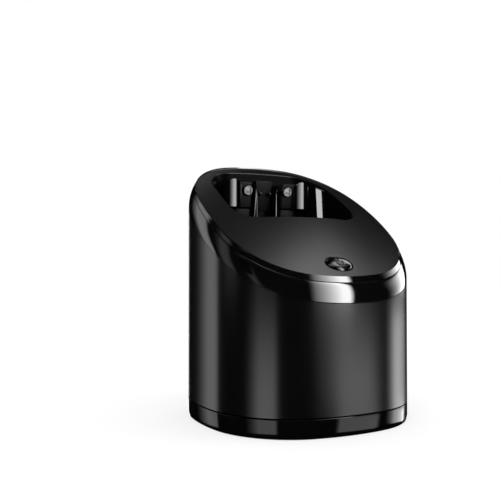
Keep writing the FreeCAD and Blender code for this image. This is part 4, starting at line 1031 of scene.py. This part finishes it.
def makeFin(side):
    look = fin
    low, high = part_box("guide_fin_right")
    apex, left, steps = look["apex"], look["flange"], look["steps"]
    front = low.y
    shoulder = front + look["depth"]
    bm = bmesh.new()
    outline = walk(bm, (low.x, high.y, low.z), [
        ((0, look["flangeBack"] - high.y, 0), 2),
        ((left - low.x, 0, 0), 1),
        ((0, shoulder - look["flangeBack"], 0), 1),
        ((apex - left, 0, 0), steps),
        ((high.x - apex, 0, 0), steps),
        ((0, look["hold"], 0), 1),
        ((0, high.y - shoulder - look["hold"], 0), 2),
        ((low.x - high.x, 0, 0), 2),
    ])
    for vert in vertsOf(outline):
        if abs(vert.co.y - shoulder) < tiny:
            span = apex - left if vert.co.x < apex else high.x - apex
            aside = min(1.0, abs(vert.co.x - apex) / span)
            vert.co.y = front + look["depth"] * (1 - math.sqrt(1 - aside ** 2))
    raised(bm, outline, high.z - low.z)
    guide = makeObject(bm, f"guide_wing_{side}")
    half = (high.x - left) / 2
    middle = ((left + high.x) / 2, (low.y + high.y) / 2, high.z - half)
    arch = drum("arch", middle, half, look["arch"], "front", segments=64)
    carve(arch, block("arch_foot", (left, low.y - farPast, low.z - past),
                      (high.x, high.y + farPast, high.z - half)), "UNION")
    carve(guide, arch, "INTERSECT")
    finish(mirrored(guide, handed[side]), "ringBlack", "housing", f"guide_fin_{side}")
    soften(guide, look["edge"], angle=35)


makeTower()
for side in ("left", "right"):
    makePin(side)
    makeRest(side)
    makeFin(side)
print("dock: recess fittings made")


# Studio: pale floor, white world, soft lamps and the surround that the gloss shows
floorLook = {"size": 30.0, "tone": 0.95, "glow": 0.6}


def makeFloor():
    look = floorLook
    bm = bmesh.new()
    bmesh.ops.create_grid(bm, x_segments=1, y_segments=1, size=look["size"])
    floor = makeObject(bm, "studio_floor")
    shader = Shader("paleFloor")
    path = shader.make("LightPath", output="Is Camera Ray")
    diffuse = shader.make("BsdfDiffuse", {"Color": (look["tone"], look["tone"], look["tone"], 1.0)})
    glow = shader.make("Emission", {"Color": (1.0, 1.0, 1.0, 1.0), "Strength": 1.0})
    mixed = shader.make("MixShader", {0: path * look["glow"], 1: diffuse, 2: glow})
    floor.data.materials.append(shader.show(mixed))
    floor.visible_glossy = False


# Softboxes, in degrees: azimuth 0 is the front and 90 the right. Their edges fade in over rise and foot and
# out over fall and head, and lean is how far they shift to the right at the surround's lean height.
softboxes = table("from to rise fall low high foot head lean strength", {
    "frontBox": (2, 34, 25, 3, 0.5, 58, 1.5, 8, 13, 6.6),
    "rightBox": (62, 111, 36, 3, 0.5, 33, 1.5, 10, -10, 5.5),
    "leftCard": (-77, -54, 12, 8, 0, 60, 2, 12, -4, 0.15),
    "farLeftCard": (-124, -90, 14, 8, 0, 60, 2, 12, 0, 0.18),
    "lowFrontCard": (6, 54, 20, 10, -11.5, 0, 1.5, 9, 0, 1.15),
    "ringFrontCard": (22, 53, 3, 3, -24, -10.5, 4, 1.5, 0, 0.9),
    "ringRightCard": (74, 108, 28, 3, -17.5, -10.5, 1.5, 1.5, 0, 3),
    "lowLeftCard": (-84, -39, 20, 4, -24, 0, 4, 8, 0, 0.88),
    "lowRightCard": (57, 116, 20, 30, -17.5, -0.5, 1.5, 1.5, 0, 2.2),
    "topCard": (75, 152, 25, 10, 44, 82, 20, 14, -18, 3.8),
    "overheadCard": (-80, 45, 45, 25, 56, 86, 16, 6, 0, 1.2),
    "rearLeftCard": (-160, -128, 16, 4, -22, 60, 4, 12, 0, 0.8),
    "rearRightCard": (148, 178, 20, 3, -22, 60, 4, 12, 0, 2),
})
surround = {"radius": 1.6, "dim": 0.004, "leanHeight": 45}


def hideFromAllButGloss(thing):
    for ray in ("camera", "diffuse", "shadow", "transmission", "volume_scatter"):
        setattr(thing, f"visible_{ray}", False)


def makeSurround():
    bm = bmesh.new()
    bmesh.ops.create_uvsphere(bm, u_segments=48, v_segments=24, radius=surround["radius"])
    dome = makeObject(bm, "studio_surround")
    shader = Shader("surround")
    direction = shader.make("VectorMath", {0: shader.place()}, operation="NORMALIZE")
    split = shader.make("SeparateXYZ", {"Vector": direction}).socket.node
    along, across, up = (Value(shader.tree, split.outputs[name]) for name in "XYZ")
    azimuth = along.maths("ARCTAN2", across * -1) * math.degrees(1)
    elevation = up.maths("ARCSINE") * math.degrees(1)
    tilt = (elevation / surround["leanHeight"]).maths("ABSOLUTE") ** 2

    def fade(value, low, high):
        return shader.make("MapRange", {"Value": value, "From Min": low, "From Max": high})

    total = None
    for box in softboxes.values():
        turned = azimuth - tilt * box["lean"]
        left = fade(turned, box["from"], box["from"] + box["rise"]) ** 2
        right = fade(turned, box["to"], box["to"] - box["fall"])
        low = fade(elevation, box["low"], box["low"] + box["foot"]) ** 2
        high = fade(elevation, box["high"], box["high"] - box["head"])
        glow = left * right * low * high * box["strength"]
        total = glow if total is None else total + glow
    emission = shader.make("Emission", {"Strength": total + surround["dim"]})
    dome.data.materials.append(shader.show(emission))
    hideFromAllButGloss(dome)


# small cards that only the named pieces show
linkedCards = table("middle facing wide tall strength lights", {
    "bounceCard": ((-0.115, -0.060, 0.140), (0.0385, 0.0350, 0.128), 0.030, 0.060, 3.6,
                   ("recess_rib_left", "recess_rib_right")),
    "buttonCard": ((0.182, 0.056, 0.229), (0.0, -0.048, 0.093), 0.088, 0.143, 2.5, ("start_cap",)),
})


def makeLinkedCard(name, look):
    bm = bmesh.new()
    bmesh.ops.create_grid(bm, x_segments=1, y_segments=1, size=0.5)
    aim = (Vector(look["facing"]) - Vector(look["middle"])).to_track_quat("Z", "Y").to_matrix().to_4x4()
    size = Matrix.Diagonal((look["wide"], look["tall"], 1, 1))
    move(bm, Matrix.Translation(look["middle"]) @ aim @ size)
    card = makeObject(bm, name)
    shader = Shader(name)
    card.data.materials.append(shader.show(shader.make("Emission", {"Strength": look["strength"]})))
    hideFromAllButGloss(card)
    lit = bpy.data.collections.new(f"{name}Lights")
    for piece in look["lights"]:
        lit.objects.link(bpy.data.objects[piece])
    card.light_linking.receiver_collection = lit


# brightness of the world where it is seen or mirrored, and where it only lights
worldLook = {"seen": 1.0, "lit": 1.05}


def makeWorld():
    look = worldLook
    shader = Shader("studio", "World")
    seen, shown, through = (shader.make("LightPath", output=f"Is {ray} Ray")
                            for ray in ("Camera", "Glossy", "Transmission"))
    white = seen.maths("MAXIMUM", shown).maths("MAXIMUM", through)
    strength = white * (look["seen"] - look["lit"]) + look["lit"]
    background = shader.make("Background", {"Color": (1.0, 1.0, 1.0, 1.0), "Strength": strength})
    bpy.context.scene.world = shader.show(background)


def hang(name, data, place, ahead):
    # puts a lamp or the camera in its place, looking ahead
    thing = bpy.data.objects.new(name, data)
    thing.location = place
    thing.rotation_euler = Vector(ahead).to_track_quat("-Z", "Y").to_euler()
    bpy.context.scene.collection.objects.link(thing)
    return thing


lamps = table("place size power", {
    "keyLamp": ((-0.9, -1.1, 1.3), 0.9, 8.0),
    "fillLamp": ((1.1, -0.6, 0.9), 0.8, 4.0),
})
lampTarget = (0, 0, 0.08)


def makeLamps():
    for name, look in lamps.items():
        data = bpy.data.lights.new(name, "AREA")
        data.shape = "SQUARE"
        data.size = look["size"]
        data.energy = look["power"]
        lamp = hang(name, data, look["place"], Vector(lampTarget) - Vector(look["place"]))
        lamp.visible_glossy = False


shot = {"place": (-0.215080, -0.373085, 0.093418), "ahead": (0.44159705, 0.89704845, 0.0172081), "lens": 50.0,
        "sensor": 36.0, "near": 0.01, "far": 200.0}


def makeCamera():
    data = bpy.data.cameras.new("shotCamera")
    data.lens = shot["lens"]
    data.sensor_width = shot["sensor"]
    data.clip_start = shot["near"]
    data.clip_end = shot["far"]
    bpy.context.scene.camera = hang("shotCamera", data, shot["place"], shot["ahead"])


makeFloor()
makeSurround()
for name, look in linkedCards.items():
    makeLinkedCard(name, look)
makeWorld()
makeLamps()
makeCamera()
bpy.context.scene.view_settings.view_transform = "Standard"
print("dock: studio made")
